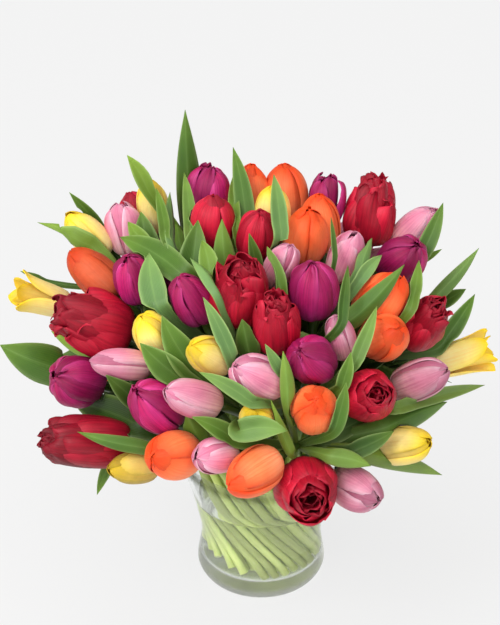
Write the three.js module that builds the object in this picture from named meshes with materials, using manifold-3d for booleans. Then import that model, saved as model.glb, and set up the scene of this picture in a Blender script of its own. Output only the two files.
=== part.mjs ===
// A full hand-gathered bunch of mixed tulips standing in a clear glass vase of water.
// Millimetres, +Z up, the origin at the centre of the vase's foot, the seen side towards -Y.
import * as THREE from "three";
import { mergeVertices } from "three/addons/utils/BufferGeometryUtils.js";
import Module from "manifold-3d";

const wasm = await Module();
wasm.setup();

const { cos, sin, sqrt, max, min, hypot, atan2, PI } = Math;
const vec = (x, y, z) => new THREE.Vector3(x, y, z);
const radians = (degrees) => (degrees * PI) / 180;

// ---------------------------------------------------------------- driving dimensions

const VASE = { height: 147, wall: 4.5, floor: 18, rimRadius: 84 };
const WATER_LEVEL = 97;
const GAP = 0.35; // the clearance between touching pieces
const SLIVER = 0.03; // edges shorter than this are closed up after a cut

const STEM = { radius: 3.5, sides: 4 };
const STEM_ROOM = 8; // how far a stem's middle line stays from the balls of another head
const BUNDLE = { footRadius: 47, neckRadius: 68, neckHeight: 151 };
const FOOT_LIFT = 12; // how much higher the stems at the left end than the rest
const FOOT_TURN = radians(88); // how far the spiral bunch turns from neck to foot
const HEAD_TURN = radians(25); // and from the flowers down to the neck

// The flower centres lie on this dome, which is flatter behind; its core is the dense inner foliage.
const DOME = { centre: vec(0, 0, 204), front: 208, back: 158 };
const CORE = {
  sides: 8,
  profile: [[148, 77], [172, 88], [222, 104], [284, 88], [326, 34]], // [height, radius]
  flatBack: 0.8,
};

const LEAF_THICKNESS = 2;

// The point of view from which the bunch was read, 500 by 625 pixels.
const VIEW = { pitch: radians(26), focal: 1395, centreX: 250, centreY: 312.5, distance: 1500 };
const VASE_IN_VIEW = { below: 272, right: 11.8 };

// Sizes of a flower head: length and width in millimetres.
// [colour, form, centre x, centre y, tip offset x, tip offset y, length, width, depth offset in mm, partner]
// Centres and tips are pixels of the view; a partner names the fused node that two touching heads share.
const HEADS = [
  ["purple", "single", 211, 192, 3, -27, 56, 42, 0],
  ["red", "single", 212, 221, 1, -25, 52, 40, 8],
  ["yellow", "single", 150, 211, -4, -26, 56, 30, 12],
  ["red", "single", 136, 214, -6, -22, 50, 34, -52],
  ["pink", "single", 124, 232, -6, -27, 56, 34, 6],
  ["yellow", "single", 96, 230, -20, -20, 58, 34, 0],
  ["orange", "single", 94, 274, -25, -24, 64, 40, 12],
  ["purple", "single", 134, 278, -6, -20, 52, 38, 0],
  ["yellow", "open", 42, 298, -27, -8, 60, 38, 0],
  ["red", "double", 93, 323, -36, -12, 76, 60, 2],
  ["purple", "single", 75, 380, -20, -4, 56, 48, 4],
  ["pink", "single", 121, 363, -31, -3, 58, 28, 8],
  ["red", "double", 87, 443, -44, -2, 86, 50, 12],
  ["yellow", "single", 132, 467, -24, 2, 50, 30, -4],
  ["orange", "single", 178, 451, -19, 2, 56, 44, 6],
  ["pink", "single", 215, 459, -18, 2, 50, 32, 0],
  ["orange", "single", 247, 471, -24, 14, 58, 41, 6],
  ["red", "double", 303, 488, 4, 12, 58, 55, 4],
  ["pink", "single", 358, 490, 20, 11, 56, 38, 0],
  ["yellow", "single", 404, 445, 27, -3, 58, 34, 0],
  ["pink", "single", 421, 379, 27, -11, 60, 36, 4],
  ["yellow", "open", 459, 358, 34, -9, 70, 39, -4],
  ["red", "double", 421, 320, 13, -15, 58, 48, 4],
  ["orange", "single", 386, 341, 13, -7, 56, 43, 6, "orange_pair_b"],
  ["orange", "single", 384, 295, 18, -22, 60, 44, 0, "orange_pair_b"],
  ["pink", "single", 409, 225, 20, -21, 60, 37, -12],
  ["purple", "single", 404, 259, 14, -13, 54, 44, 4],
  ["red", "double", 362, 212, 6, -32, 66, 54, 2],
  ["purple", "open", 330, 202, 3, -27, 56, 36, -8],
  ["orange", "single", 286, 194, -2, -28, 58, 44, -4, "orange_pair_a"],
  ["orange", "single", 258, 192, 0, -27, 56, 38, -8, "orange_pair_a"],
  ["yellow", "single", 272, 212, 0, -27, 56, 34, 8],
  ["orange", "single", 322, 220, -2, -28, 60, 38, -2, "orange_pair_c"],
  ["orange", "single", 304, 236, 3, -25, 56, 42, 6, "orange_pair_c"],
  ["red", "single", 257, 233, 3, -22, 50, 38, 6],
  ["pink", "single", 281, 264, 11, -20, 50, 28, 0],
  ["pink", "single", 346, 256, 10, -24, 56, 32, 0],
  ["purple", "single", 313, 288, 0, -26, 60, 45, 6],
  ["red", "double", 243, 291, 2, -26, 64, 54, 4, "red_pair"],
  ["red", "double", 276, 323, 0, -27, 62, 42, 6, "red_pair"],
  ["purple", "single", 192, 298, -12, -21, 56, 38, 2],
  ["yellow", "single", 152, 335, -12, -19, 56, 34, 4],
  ["yellow", "single", 209, 355, -18, -9, 50, 34, 4],
  ["pink", "single", 190, 398, -27, -8, 58, 34, 6],
  ["purple", "single", 159, 411, -20, -16, 60, 44, 2],
  ["pink", "single", 255, 378, -24, -12, 58, 38, 8],
  ["pink", "single", 335, 341, -5, -20, 50, 27, 2],
  ["purple", "single", 315, 361, -12, -9, 54, 42, 4],
  ["red", "double", 370, 396, 8, -1, 54, 48, 4],
  ["orange", "single", 314, 400, 2, -8, 58, 42, 6],
  ["yellow", "single", 257, 416, -4, -10, 46, 30, 2],
  ["yellow", "single", 402, 283, 10, -22, 50, 32, -34],
];

// The far side, which the view doesn't reach, carries rows of touching clusters:
// elevation, first and last azimuth in degrees, and the colour and form of each cluster's heads.
const BACK_ROWS = [
  {
    elevation: 40,
    from: 10,
    to: 176,
    each: 2,
    clusters: ["pink single", "red double", "yellow single", "purple single"],
  },
  {
    elevation: 14,
    from: -10,
    to: 190,
    each: 3,
    clusters: ["yellow single", "orange single", "pink single", "red double", "orange single"],
  },
];
const BACK_HEAD = { length: 56, width: 43, spread: 40 };

// Leaves: [tip x, tip y, root x, root y, width, bow, roll, tip depth, root depth]
// Pixels of the view, with the width and the sideways bow of the midrib in pixels too;
// roll turns the blade edge-on in degrees; the depths are millimetres in front of the dome.
const LEAVES = [
  [185, 108, 194, 238, 27, -3, 0, 0, -26],
  [127, 155, 148, 190, 16, 3, 0, -20, -60],
  [69, 192, 98, 224, 12, 0, 0, -20, -40],
  [37, 222, 122, 298, 20, 38, 0, 8, -14],
  [120, 237, 182, 274, 30, 8, 0, 20, 16],
  [198, 220, 190, 286, 32, 0, 0, 26, 18],
  [222, 219, 228, 280, 23, -3, 0, 30, 22],
  [233, 147, 247, 234, 20, 5, 0, -2, -12],
  [149, 253, 158, 308, 28, -5, 0, 26, 18],
  [190, 258, 218, 294, 14, 4, 30, 28, 20],
  [274, 176, 281, 238, 17, 2, 0, 30, 24],
  [443, 203, 419, 260, 18, 3, 0, 22, 14],
  [479, 248, 430, 302, 14, 3, 0, 0, -10],
  [466, 289, 440, 304, 15, 0, 0, -6, -14],
  [475, 294, 438, 348, 18, 3, 0, -10, -18],
  [403, 266, 342, 328, 22, 5, 0, 30, 14],
  [419, 260, 410, 310, 14, 3, 0, 28, 14],
  [267, 246, 281, 292, 17, 2, 0, 32, 22],
  [0, 345, 66, 370, 40, -5, 0, 0, -12],
  [162, 316, 198, 374, 32, -6, 0, 16, -6],
  [140, 343, 182, 380, 30, -3, 0, 24, 10],
  [242, 319, 250, 356, 24, 0, 0, 20, -4],
  [71, 400, 138, 424, 36, 3, 0, -6, -16],
  [106, 375, 140, 404, 22, 0, 0, 18, 6],
  [78, 432, 152, 448, 16, -5, 0, 30, 18],
  [97, 495, 116, 452, 12, 3, 0, -6, -6],
  [192, 417, 236, 440, 20, 4, 0, 12, -4],
  [337, 341, 298, 340, 20, 14, 0, 12, -4],
  [377, 306, 354, 364, 15, 2, 0, 30, 16],
  [346, 383, 334, 430, 17, 3, 0, 30, 14],
  [271, 400, 292, 454, 12, -3, 0, 14, 0],
  [287, 431, 240, 431, 26, -7, 0, 30, 13],
  [485, 385, 394, 408, 16, -3, 0, 0, 4],
  [447, 402, 384, 428, 26, -2, 0, -4, -4],
  [377, 410, 318, 440, 22, 3, 0, 4, -10],
  [394, 431, 350, 452, 19, 3, 0, 14, 0],
  [442, 475, 356, 452, 21, -4, 0, -2, 0],
];

// Leaves of the far side in rows: elevations of root and tip, azimuths, count, and reach past the dome.
const BACK_LEAF_ROWS = [
  { root: 26, tip: 58, from: 40, to: 140, count: 3, reach: 34 },
  { root: 0, tip: 32, from: 14, to: 166, count: 5, reach: 40 },
  { root: -8, tip: 4, from: 0, to: 180, count: 4, reach: 34 },
];
const BACK_LEAF_WIDTH = 34;

const COLOURS = {
  red: 0xb01024,
  orange: 0xf2541b,
  yellow: 0xf4d43a,
  pink: 0xe39aae,
  purple: 0x96175a,
  green: 0x5f8f43,
};

// ---------------------------------------------------------------- the point of view

const sight = vec(0, cos(VIEW.pitch), -sin(VIEW.pitch));
const upward = vec(0, sin(VIEW.pitch), cos(VIEW.pitch));
const rightward = vec(1, 0, 0);
const eye = vec(0, 0, 0)
  .addScaledVector(rightward, -VASE_IN_VIEW.right)
  .addScaledVector(upward, VASE_IN_VIEW.below)
  .addScaledVector(sight, -VIEW.distance);

/** The direction of sight through a pixel. */
function rayThrough(x, y) {
  return sight
    .clone()
    .multiplyScalar(VIEW.focal)
    .addScaledVector(rightward, x - VIEW.centreX)
    .addScaledVector(upward, VIEW.centreY - y)
    .normalize();
}

/** Where a ray from the eye meets the dome raised by some depth, or passes nearest to it. */
function meetDome(ray, depth, reachBehind) {
  const semi = vec(DOME.front + depth, reachBehind + depth, DOME.front + depth);
  const from = eye.clone().sub(DOME.centre).divide(semi);
  const along = ray.clone().divide(semi);
  const a = along.dot(along);
  const b = from.dot(along);
  const root = sqrt(max(0, b * b - a * (from.dot(from) - 1)));
  return eye.clone().addScaledVector(ray, (-b - root) / a);
}

/** The point of the dome seen at a pixel: on its front half, or else on the flatter back. */
function onDome(x, y, depth) {
  const ray = rayThrough(x, y);
  const front = meetDome(ray, depth, DOME.front);
  return front.y < 0 ? front : meetDome(ray, depth, DOME.back);
}

/** How many pixels a millimetre takes at a point. */
const pixelsPerMm = (point) => VIEW.focal / point.clone().sub(eye).dot(sight);

// ---------------------------------------------------------------- where the heads go

/** The direction in which a head points, from how far its tip lies from its centre in the view. */
function headAxis(centre, tipX, tipY, length) {
  const scale = pixelsPerMm(centre);
  const across = vec(0, 0, 0)
    .addScaledVector(rightward, tipX / scale)
    .addScaledVector(upward, -tipY / scale);
  const towards = sqrt(max(0, (length / 2) ** 2 - across.lengthSq()));
  const ray = centre.clone().sub(eye).normalize();
  return across.addScaledVector(ray, -towards).normalize();
}

/** The heads of the view. One deeper than this in the dome goes back along the line of sight. */
const SUNK = 10;
function seenHeads() {
  return HEADS.map(([colour, form, x, y, tipX, tipY, length, width, depth, partner]) => {
    const back = 1.5 * max(0, -SUNK - depth);
    const centre = onDome(x, y, max(depth, -SUNK)).addScaledVector(rayThrough(x, y), back);
    return { colour, form, length, width, partner, centre, axis: headAxis(centre, tipX, tipY, length) };
  });
}

/** A point of the dome's far side, some way out from it. */
function behind(azimuth, elevation, out) {
  const flat = (DOME.back + out) * cos(radians(elevation));
  const rise = (DOME.front + out) * sin(radians(elevation));
  return vec(flat * cos(azimuth), flat * sin(azimuth), rise).add(DOME.centre);
}

function backHeads() {
  const { length, width, spread } = BACK_HEAD;
  return BACK_ROWS.flatMap(({ elevation, from, to, each, clusters }, row) =>
    clusters.flatMap((kind, k) => {
      const [colour, form] = kind.split(" ");
      const partner = `${colour}_cluster_${row + 1}${"abcde"[k]}`;
      const middle = radians(from + ((k + 0.5) * (to - from)) / clusters.length);
      return Array.from({ length: each }, (_, n) => {
        const aside = ((n - (each - 1) / 2) * spread) / DOME.back / cos(radians(elevation));
        const centre = behind(middle + aside, elevation + (n % 2 ? 5 : -5), 0);
        const axis = centre.clone().sub(vec(0, 0, VASE.height)).normalize();
        return { colour, form, length, width, centre, axis, partner, far: true };
      });
    }),
  );
}

/** Four balls that a head and the top of its stem fill: [place along the length, share of the radius]. */
const BALLS = {
  single: [[-0.66, 0.3], [-0.22, 0.9], [0.04, 1], [0.3, 0.72]],
  open: [[-0.66, 0.3], [-0.24, 0.8], [0.02, 1], [0.28, 0.95]],
  double: [[-0.66, 0.25], [-0.24, 0.82], [0.02, 1.02], [0.24, 0.98]],
};

function ballsOf(head) {
  return BALLS[head.form].map(([place, share]) => ({
    centre: head.centre.clone().addScaledVector(head.axis, place * head.length),
    radius: (share * head.width) / 2,
  }));
}

/** Moves overlapping heads apart, mostly along the line of sight so that the view keeps its look. */
function settleHeads(heads) {
  const rounds = 160;
  const clearance = 1.2;
  const press = 7; // how far the two heads of a fused pair sink into each other
  const sideways = 0.45;
  for (let round = 0; round < rounds; round++) {
    const balls = heads.map(ballsOf);
    const moves = heads.map(() => vec(0, 0, 0));
    for (let i = 0; i < heads.length; i++)
      for (let j = i + 1; j < heads.length; j++) {
        if (heads[i].centre.distanceTo(heads[j].centre) > 100) continue;
        const fused = heads[i].partner && heads[i].partner === heads[j].partner;
        let deepest = null;
        for (const p of balls[i])
          for (const q of balls[j]) {
            const depth = p.radius + q.radius - p.centre.distanceTo(q.centre);
            if (!deepest || depth > deepest.depth) deepest = { depth, p, q };
          }
        const wanted = fused ? press : -clearance;
        if (!fused && deepest.depth < wanted) continue;
        const push = deepest.p.centre.clone().sub(deepest.q.centre).normalize();
        push.multiplyScalar((deepest.depth - wanted) * 0.3);
        moves[i].add(push);
        moves[j].sub(push);
      }
    heads.forEach((head, i) => {
      const ray = head.centre.clone().sub(eye).normalize();
      const share = head.far ? 1 : sideways;
      head.centre.addScaledVector(ray, moves[i].dot(ray) * (1 - share)).addScaledVector(moves[i], share);
    });
  }
  for (const head of heads) {
    head.base = head.centre.clone().addScaledVector(head.axis, -head.length / 2);
    head.balls = ballsOf(head);
  }
  return heads;
}

// ---------------------------------------------------------------- the bunch of stems

/** A place in the unit disc for each stem, evenly packed, below its own flower. */
function bundlePlaces(heads) {
  const steepness = heads.map((head) => hypot(head.base.x, head.base.y) / (head.base.z - BUNDLE.neckHeight));
  const order = heads.map((_, i) => i).sort((a, b) => steepness[a] - steepness[b]);
  const places = [];
  order.forEach((i, rank) => {
    const radius = sqrt((rank + 0.5) / heads.length);
    const azimuth = atan2(heads[i].base.y, heads[i].base.x) + HEAD_TURN;
    places[i] = { x: radius * cos(azimuth), y: radius * sin(azimuth) };
  });
  const spacing = 1.86 / sqrt(heads.length);
  for (let round = 0; round < 200; round++) {
    for (let i = 0; i < places.length; i++)
      for (let j = i + 1; j < places.length; j++) {
        const dx = places[i].x - places[j].x;
        const dy = places[i].y - places[j].y;
        const gap = hypot(dx, dy);
        if (gap >= spacing || gap === 0) continue;
        const push = ((spacing - gap) / gap) * 0.4;
        places[i].x += dx * push;
        places[i].y += dy * push;
        places[j].x -= dx * push;
        places[j].y -= dy * push;
      }
    for (const place of places) {
      const radius = hypot(place.x, place.y);
      if (radius <= 1) continue;
      place.x /= radius;
      place.y /= radius;
    }
  }
  return places;
}

/** Keeps a point at a distance from every head but one. */
function keepClear(point, distance, heads, own, rounds = 4) {
  for (let round = 0; round < rounds; round++)
    for (const head of heads) {
      if (head === own || head.centre.distanceTo(point) > head.length + distance) continue;
      for (const ball of head.balls) {
        const away = point.clone().sub(ball.centre);
        const short = ball.radius + distance - away.length();
        if (short > 0) point.addScaledVector(away.normalize(), short);
      }
    }
  return point;
}

const cubic = (p, q, r, s, t) =>
  p
    .clone()
    .multiplyScalar((1 - t) ** 3)
    .addScaledVector(q, 3 * t * (1 - t) ** 2)
    .addScaledVector(r, 3 * t * t * (1 - t))
    .addScaledVector(s, t ** 3);

/** Shifts a stem's two bends until its three upper stretches pass the other heads. */
function bendClear(neck, bends, top, heads, own) {
  const points = [neck, ...bends, top];
  for (let round = 0; round < 12; round++)
    for (let s = 0; s < 3; s++)
      for (const t of [0.2, 0.45, 0.7, 0.9]) {
        const point = points[s].clone().lerp(points[s + 1], t);
        const shift = keepClear(point.clone(), STEM_ROOM, heads, own, 1).sub(point);
        if (s > 0) points[s].addScaledVector(shift, 1 - t);
        if (s < 2) points[s + 1].addScaledVector(shift, t);
      }
  return points.slice(1, 3);
}

/** Each stem's foot, neck, two bends and top, just below its flower. */
function stemLines(heads) {
  const places = bundlePlaces(heads);
  return heads.map((head, i) => {
    const { x, y } = places[i];
    const turn = (scale, angle, z) =>
      vec(scale * (x * cos(angle) - y * sin(angle)), scale * (x * sin(angle) + y * cos(angle)), z);
    const foot = turn(BUNDLE.footRadius, FOOT_TURN, VASE.floor + GAP + STEM.radius * 0.7);
    foot.z += FOOT_LIFT * max(0, -foot.x / BUNDLE.footRadius);
    const neck = turn(BUNDLE.neckRadius, 0, BUNDLE.neckHeight);
    const reach = neck.distanceTo(head.base);
    const lean = neck.clone().sub(foot).normalize();
    const afterNeck = neck.clone().addScaledVector(lean, reach * 0.4);
    const beforeHead = head.base.clone().addScaledVector(head.axis, -reach * 0.33);
    const curve = [0.4, 0.78].map((t) => cubic(neck, afterNeck, beforeHead, head.base, t));
    const bends = bendClear(neck, curve, head.base, heads, head);
    const top = head.base.clone().addScaledVector(head.axis, -GAP);
    return { foot, neck, bends, top };
  });
}

// ---------------------------------------------------------------- solids from rings of points

/** A closed geometry through rings of equal count, each counter-clockwise about the way they follow,
 *  closed at the end, and likewise at the start, by a point where one is given and flat otherwise. */
function throughRings(rings, { end, start } = {}) {
  const count = rings[0].length;
  const points = rings.flat();
  const index = [];
  for (let r = 0; r + 1 < rings.length; r++)
    for (let k = 0; k < count; k++) {
      const a = r * count + k;
      const b = r * count + ((k + 1) % count);
      index.push(a, b, b + count, a, b + count, a + count);
    }
  const last = (rings.length - 1) * count;
  const startAt = start ? points.push(start) - 1 : 0;
  const endAt = end ? points.push(end) - 1 : last;
  for (let k = 0; k < count; k++) {
    const next = (k + 1) % count;
    if (start || (k && next)) index.push(startAt, next, k);
    if (end || (k && next)) index.push(endAt, last + k, last + next);
  }
  return new THREE.BufferGeometry().setFromPoints(points).setIndex(index);
}

function solidOf(geometry) {
  const bare = new THREE.BufferGeometry().setAttribute("position", geometry.getAttribute("position"));
  bare.setIndex(geometry.index);
  const merged = mergeVertices(bare, 1e-4);
  return new wasm.Manifold(
    new wasm.Mesh({
      numProp: 3,
      vertProperties: merged.attributes.position.array,
      triVerts: new Uint32Array(merged.index.array),
    }),
  );
}

function geometryOf(solid) {
  const made = solid.getMesh();
  return new THREE.BufferGeometry()
    .setAttribute("position", new THREE.BufferAttribute(made.vertProperties, 3))
    .setIndex(new THREE.BufferAttribute(made.triVerts, 1));
}

/** The one outer body of a solid, without loose scraps, sealed hollows or slivers. */
const mainBody = (solid) => solid.decompose().sort((a, b) => b.volume() - a.volume())[0].simplify(SLIVER);

/** A round rod of few sides along points. */
function rod(points, radius, sides = STEM.sides) {
  const rings = points.map((point, i) => {
    const before = points[max(0, i - 1)];
    const after = points[min(points.length - 1, i + 1)];
    const along = after.clone().sub(before).normalize();
    const first = vec(1, 0, 0).cross(along).normalize();
    const second = along.clone().cross(first);
    return Array.from({ length: sides }, (_, k) => {
      const angle = (2 * PI * k) / sides;
      return point
        .clone()
        .addScaledVector(first, radius * cos(angle))
        .addScaledVector(second, radius * sin(angle));
    });
  });
  return throughRings(rings);
}

// ---------------------------------------------------------------- flower heads

/** The head's own frame: its base at the origin, its axis along +Z, set on its place by this matrix. */
function headMatrix(head, index) {
  const z = head.axis;
  const x = vec(0.31, 0.27, 1).cross(z).normalize();
  const y = z.clone().cross(x);
  return new THREE.Matrix4()
    .makeBasis(x, y, z)
    .setPosition(head.base)
    .multiply(new THREE.Matrix4().makeRotationZ(index * 0.7));
}

/** A closed single tulip: three outer petals, over three inner ones where those are shown too. */
function singleHead(length, width, flare, showInner) {
  const R = width / 2;
  // Per ring: height and radius at an outer petal's midrib, at its edge, and at the inner petal between.
  const rings = [
    { half: 50, mid: [0.22, 0.93], edge: [0.2, 0.9], inner: [0.21, 0.8] },
    {
      half: 44,
      mid: [0.64, 0.93 + flare * 0.2],
      edge: [0.62, 0.94 + flare * 0.1],
      inner: [0.63, 0.78 + flare * 0.1],
    },
    {
      half: 30,
      mid: [0.99, 0.4 + flare],
      edge: [0.84, 0.66 + flare * 0.5],
      inner: [0.95, 0.36 + flare * 0.7],
    },
  ].map(({ mid, edge, inner, half }) => {
    const between = showInner ? [[inner, 60]] : [];
    const petal = [[mid, 0], [edge, half], ...between, [edge, 120 - half]];
    return [0, 120, 240].flatMap((turn) =>
      petal.map(([[z, r], angle]) => {
        const a = radians(turn + angle);
        return vec(r * R * cos(a), r * R * sin(a), z * length);
      }),
    );
  });
  return throughRings(rings, { start: vec(0, 0, 0), end: vec(0, 0, (0.72 - flare * 0.3) * length) });
}

/** A full double tulip: five ruffled outer petals round a crumpled crown of inner ones. */
function doubleHead(length, width, seed) {
  const R = width / 2;
  const petals = 5;
  const ruffle = (k, n) => 0.07 * sin(2.3 * k + 1.7 * n + seed);
  const levels = [
    [[0.26, 0.9], [0.24, 0.92], [0.26, 0.78]],
    [[0.9, 0.9], [0.78, 0.98], [0.66, 0.8]],
    [[0.7, 0.58], [0.84, 0.62], [0.94, 0.56]],
  ];
  const rings = levels.map((level, n) => {
    const ring = [];
    for (let petal = 0; petal < petals; petal++)
      [-22, 22, 36].forEach((angle, k) => {
        const [z, r] = level[k];
        const wave = ruffle(petal * 3 + k, n + 1);
        const a = radians(petal * 72 + angle + n * 8);
        ring.push(vec((r + wave) * R * cos(a), (r + wave) * R * sin(a), (z + wave * 0.8) * length));
      });
    return ring;
  });
  return throughRings(rings, { start: vec(0, 0, 0), end: vec(0, 0, 0.7 * length) });
}

function headSolid(head, index) {
  const geometry =
    head.form === "double"
      ? doubleHead(head.length, head.width, index)
      : singleHead(head.length, head.width, head.form === "open" ? 0.42 : 0, !head.far);
  return solidOf(geometry.applyMatrix4(headMatrix(head, index)));
}

/** A plain hull round a head, a gap larger all over, that clears the greenery away from it. */
function headClearance(head) {
  const R = head.width / 2 + GAP;
  const full = head.form === "double" ? 1.28 : 1.2;
  const top = head.form === "single" ? 0.8 : 1.26;
  const L = head.length;
  const levels = [[-0.3, 0.3], [0.19 * L, full], [0.66 * L, full], [L + GAP, top]];
  const sides = 6;
  const rings = levels.map(([z, r]) =>
    Array.from({ length: sides }, (_, k) => {
      const a = (2 * PI * (k + 0.5)) / sides;
      return vec(r * R * cos(a), r * R * sin(a), z);
    }),
  );
  return solidOf(throughRings(rings).applyMatrix4(headMatrix(head, 0)));
}

// ---------------------------------------------------------------- leaves

/** Stations of a blade: [place from root to tip, share of the full width]. */
const BLADE = [[0, 0.8], [0.33, 1], [0.7, 0.72]];

const quadratic = (p, q, r, t) =>
  p
    .clone()
    .multiplyScalar((1 - t) ** 2)
    .addScaledVector(q, 2 * t * (1 - t))
    .addScaledVector(r, t * t);

/** The bend of a stem from which a leaf reaches its root best: near, straight on and clear of the heads. */
function leafOrigin({ tip, root }, stems, heads) {
  const onward = tip.clone().sub(root).normalize();
  let best = null;
  for (const point of stems.flatMap((stem) => stem.bends)) {
    const reach = root.clone().sub(point);
    const turn = 1 - reach.clone().normalize().dot(onward);
    const sunk = crush({ tip: root, root: point, width: 10 }, heads);
    const cost = reach.length() + 45 * turn + 3 * sunk;
    if (!best || cost < best.cost) best = { cost, point };
  }
  return best.point;
}

/** How deep a leaf's blade would sink into the heads. */
function crush({ tip, root, width }, heads) {
  let sum = 0;
  for (const t of [0, 0.25, 0.5, 0.75, 1]) {
    const point = root.clone().lerp(tip, t);
    for (const head of heads)
      for (const ball of head.balls) sum += max(0, ball.radius + width * 0.2 - ball.centre.distanceTo(point));
  }
  return sum;
}

/** Slides a leaf's root and tip along the way it faces until it passes the heads best. */
function slideClear(leaf, heads) {
  const near = heads.filter((head) => head.centre.distanceTo(leaf.root) < 150);
  const slides = [0, 1, -1, 2, -2, 3, -3, 4, -4, 5, -5].map((step) => step * 9);
  let best = null;
  for (const rootSlide of slides)
    for (const tipSlide of slides) {
      const tip = leaf.tip.clone().addScaledVector(leaf.facing, tipSlide);
      const root = leaf.root.clone().addScaledVector(leaf.facing, rootSlide);
      const effort = hypot(rootSlide, tipSlide) + max(0, rootSlide);
      const cost = crush({ tip, root, width: leaf.width }, near) + 0.12 * effort;
      if (!best || cost < best.cost) best = { cost, tip, root };
    }
  return { ...leaf, tip: best.tip, root: best.root };
}

/** A leaf blade: arched along its midrib and channelled across it. */
function leafSolid(leaf, stems, heads, index) {
  const { tip, root, width, bow, roll, facing } = leaf;
  const origin = leafOrigin(leaf, stems, heads);
  const length = tip.distanceTo(root);
  const middle = root.clone().add(tip).multiplyScalar(0.5).add(bow).addScaledVector(facing, length * 0.1);
  const channel = (index % 3 === 0 ? -1 : 1) * 0.16;
  const lines = BLADE.map(([t, share]) => ({ point: quadratic(root, middle, tip, t), share }));
  const points = [origin, ...lines.map((line) => line.point), keepClear(tip.clone(), 1.6, heads)];
  const shares = [0.3, ...lines.map((line) => line.share)];
  const rings = points.slice(0, -1).map((point, i) => {
    const along = points[i + 1].clone().sub(points[max(0, i - 1)]).normalize();
    const face = facing.clone().addScaledVector(along, -facing.dot(along)).normalize();
    face.applyAxisAngle(along, roll);
    const wide = along.clone().cross(face);
    const half = (shares[i] * width) / 2;
    const spot = (w, n) => {
      const corner = point.clone().addScaledVector(wide, w).addScaledVector(face, n);
      return i ? keepClear(corner, 1.6, heads) : corner;
    };
    const lift = channel * half;
    const left = spot(-half, lift);
    const right = spot(half, lift);
    const rib = spot(0, -lift);
    // The section is a thin triangle: both edges, and the keel under the midrib.
    const keel = rib.addScaledVector(face, channel > 0 ? -LEAF_THICKNESS : LEAF_THICKNESS);
    return channel > 0 ? [right, keel, left] : [keel, right, left];
  });
  return solidOf(throughRings(rings, { end: points.at(-1) }));
}

function seenLeaves() {
  return LEAVES.map(([tipX, tipY, rootX, rootY, wide, bow, roll, tipDepth, rootDepth]) => {
    const tip = onDome(tipX, tipY, tipDepth);
    const root = onDome(rootX, rootY, rootDepth);
    const scale = pixelsPerMm(root);
    const facing = eye.clone().sub(root).normalize();
    const aside = tip.clone().sub(root).cross(facing).normalize().multiplyScalar(bow / scale);
    return { tip, root, width: wide / scale, bow: aside, roll: radians(roll), facing };
  });
}

function backLeaves() {
  return BACK_LEAF_ROWS.flatMap((row) =>
    Array.from({ length: row.count }, (_, k) => {
      const azimuth = radians(row.from + ((k + 0.5) * (row.to - row.from)) / row.count);
      const facing = vec(cos(azimuth), sin(azimuth), 0.3).normalize();
      const tip = behind(azimuth + 0.12 * sin(5 * k), row.tip, row.reach);
      const root = behind(azimuth, row.root, -14);
      return { tip, root, width: BACK_LEAF_WIDTH, bow: vec(0, 0, 0), roll: radians(15 * sin(7 * k)), facing };
    }),
  );
}

/** The dense inner foliage that every stem and leaf passes through. */
function coreSolid() {
  const rings = CORE.profile.map(([z, r], n) =>
    Array.from({ length: CORE.sides }, (_, k) => {
      const a = (2 * PI * (k + (n % 2) / 2)) / CORE.sides;
      const wave = n ? 1 + 0.06 * sin(3 * k + 2 * n) : 1;
      return vec(r * wave * cos(a), r * wave * sin(a) * (sin(a) > 0 ? CORE.flatBack : 1), z);
    }),
  );
  return solidOf(throughRings(rings));
}

/** All the green: stems from the vase's floor to the flowers, the core, and the leaves, as one body. */
function greenery(stems, heads) {
  const parts = [coreSolid()];
  for (const stem of stems) {
    parts.push(solidOf(rod([stem.foot, stem.neck, ...stem.bends, stem.top], STEM.radius)));
  }
  [...seenLeaves(), ...backLeaves()].forEach((leaf, i) =>
    parts.push(leafSolid(slideClear(leaf, heads), stems, heads, i)),
  );
  const all = wasm.Manifold.union(parts);
  const room = wasm.Manifold.union([rimClearance(), ...heads.map(headClearance)]);
  return mainBody(all.subtract(room));
}

// ---------------------------------------------------------------- vase and water

// The vase's outer profile: a bulb at the foot, a slight waist, then a flare to the rim.
const VASE_SIDES = 24;
const PROFILE = [
  [50, 0],
  [60, 4],
  [67.2, 18],
  [62.8, 54],
  [67.5, 82],
  [70.8, WATER_LEVEL],
  [77.5, 119],
  [VASE.rimRadius, VASE.height],
];
const WALL = PROFILE.slice(3, -1);
const FLOOR_RADIUS = 55;

function latheOf(profile) {
  const geometry = new THREE.LatheGeometry(profile.map(([r, z]) => new THREE.Vector2(r, z)), VASE_SIDES);
  return geometry.rotateX(PI / 2);
}

function vaseGeometry() {
  const rim = [VASE.rimRadius - VASE.wall, VASE.height];
  const inner = WALL.map(([r, z]) => [r - VASE.wall, z]).toReversed();
  return latheOf([[0, 0], ...PROFILE, rim, ...inner, [FLOOR_RADIUS, VASE.floor], [0, VASE.floor]]);
}

/** A ring round the vase's rim that clears the greenery away from the glass. */
function rimClearance() {
  const inside = VASE.rimRadius - VASE.wall - GAP;
  const outside = VASE.rimRadius + GAP;
  const [low, high] = [VASE.height - 25, VASE.height + GAP];
  const corners = [[inside - 6, low], [outside, low], [outside, high], [inside, high], [inside - 6, low]];
  return solidOf(latheOf(corners));
}

function waterSolid(stems) {
  const side = WALL.filter(([, z]) => z <= WATER_LEVEL).map(([r, z]) => [r - VASE.wall - GAP, z]);
  const bottom = VASE.floor + GAP;
  const body = solidOf(latheOf([[0, bottom], [FLOOR_RADIUS - GAP, bottom], ...side, [0, WATER_LEVEL]]));
  const holes = stems.map((stem) => {
    const lean = stem.neck.clone().sub(stem.foot).normalize();
    const below = stem.foot.clone().addScaledVector(lean, -4);
    return solidOf(rod([below, stem.neck], STEM.radius + GAP));
  });
  return mainBody(body.subtract(wasm.Manifold.union(holes)));
}

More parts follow.
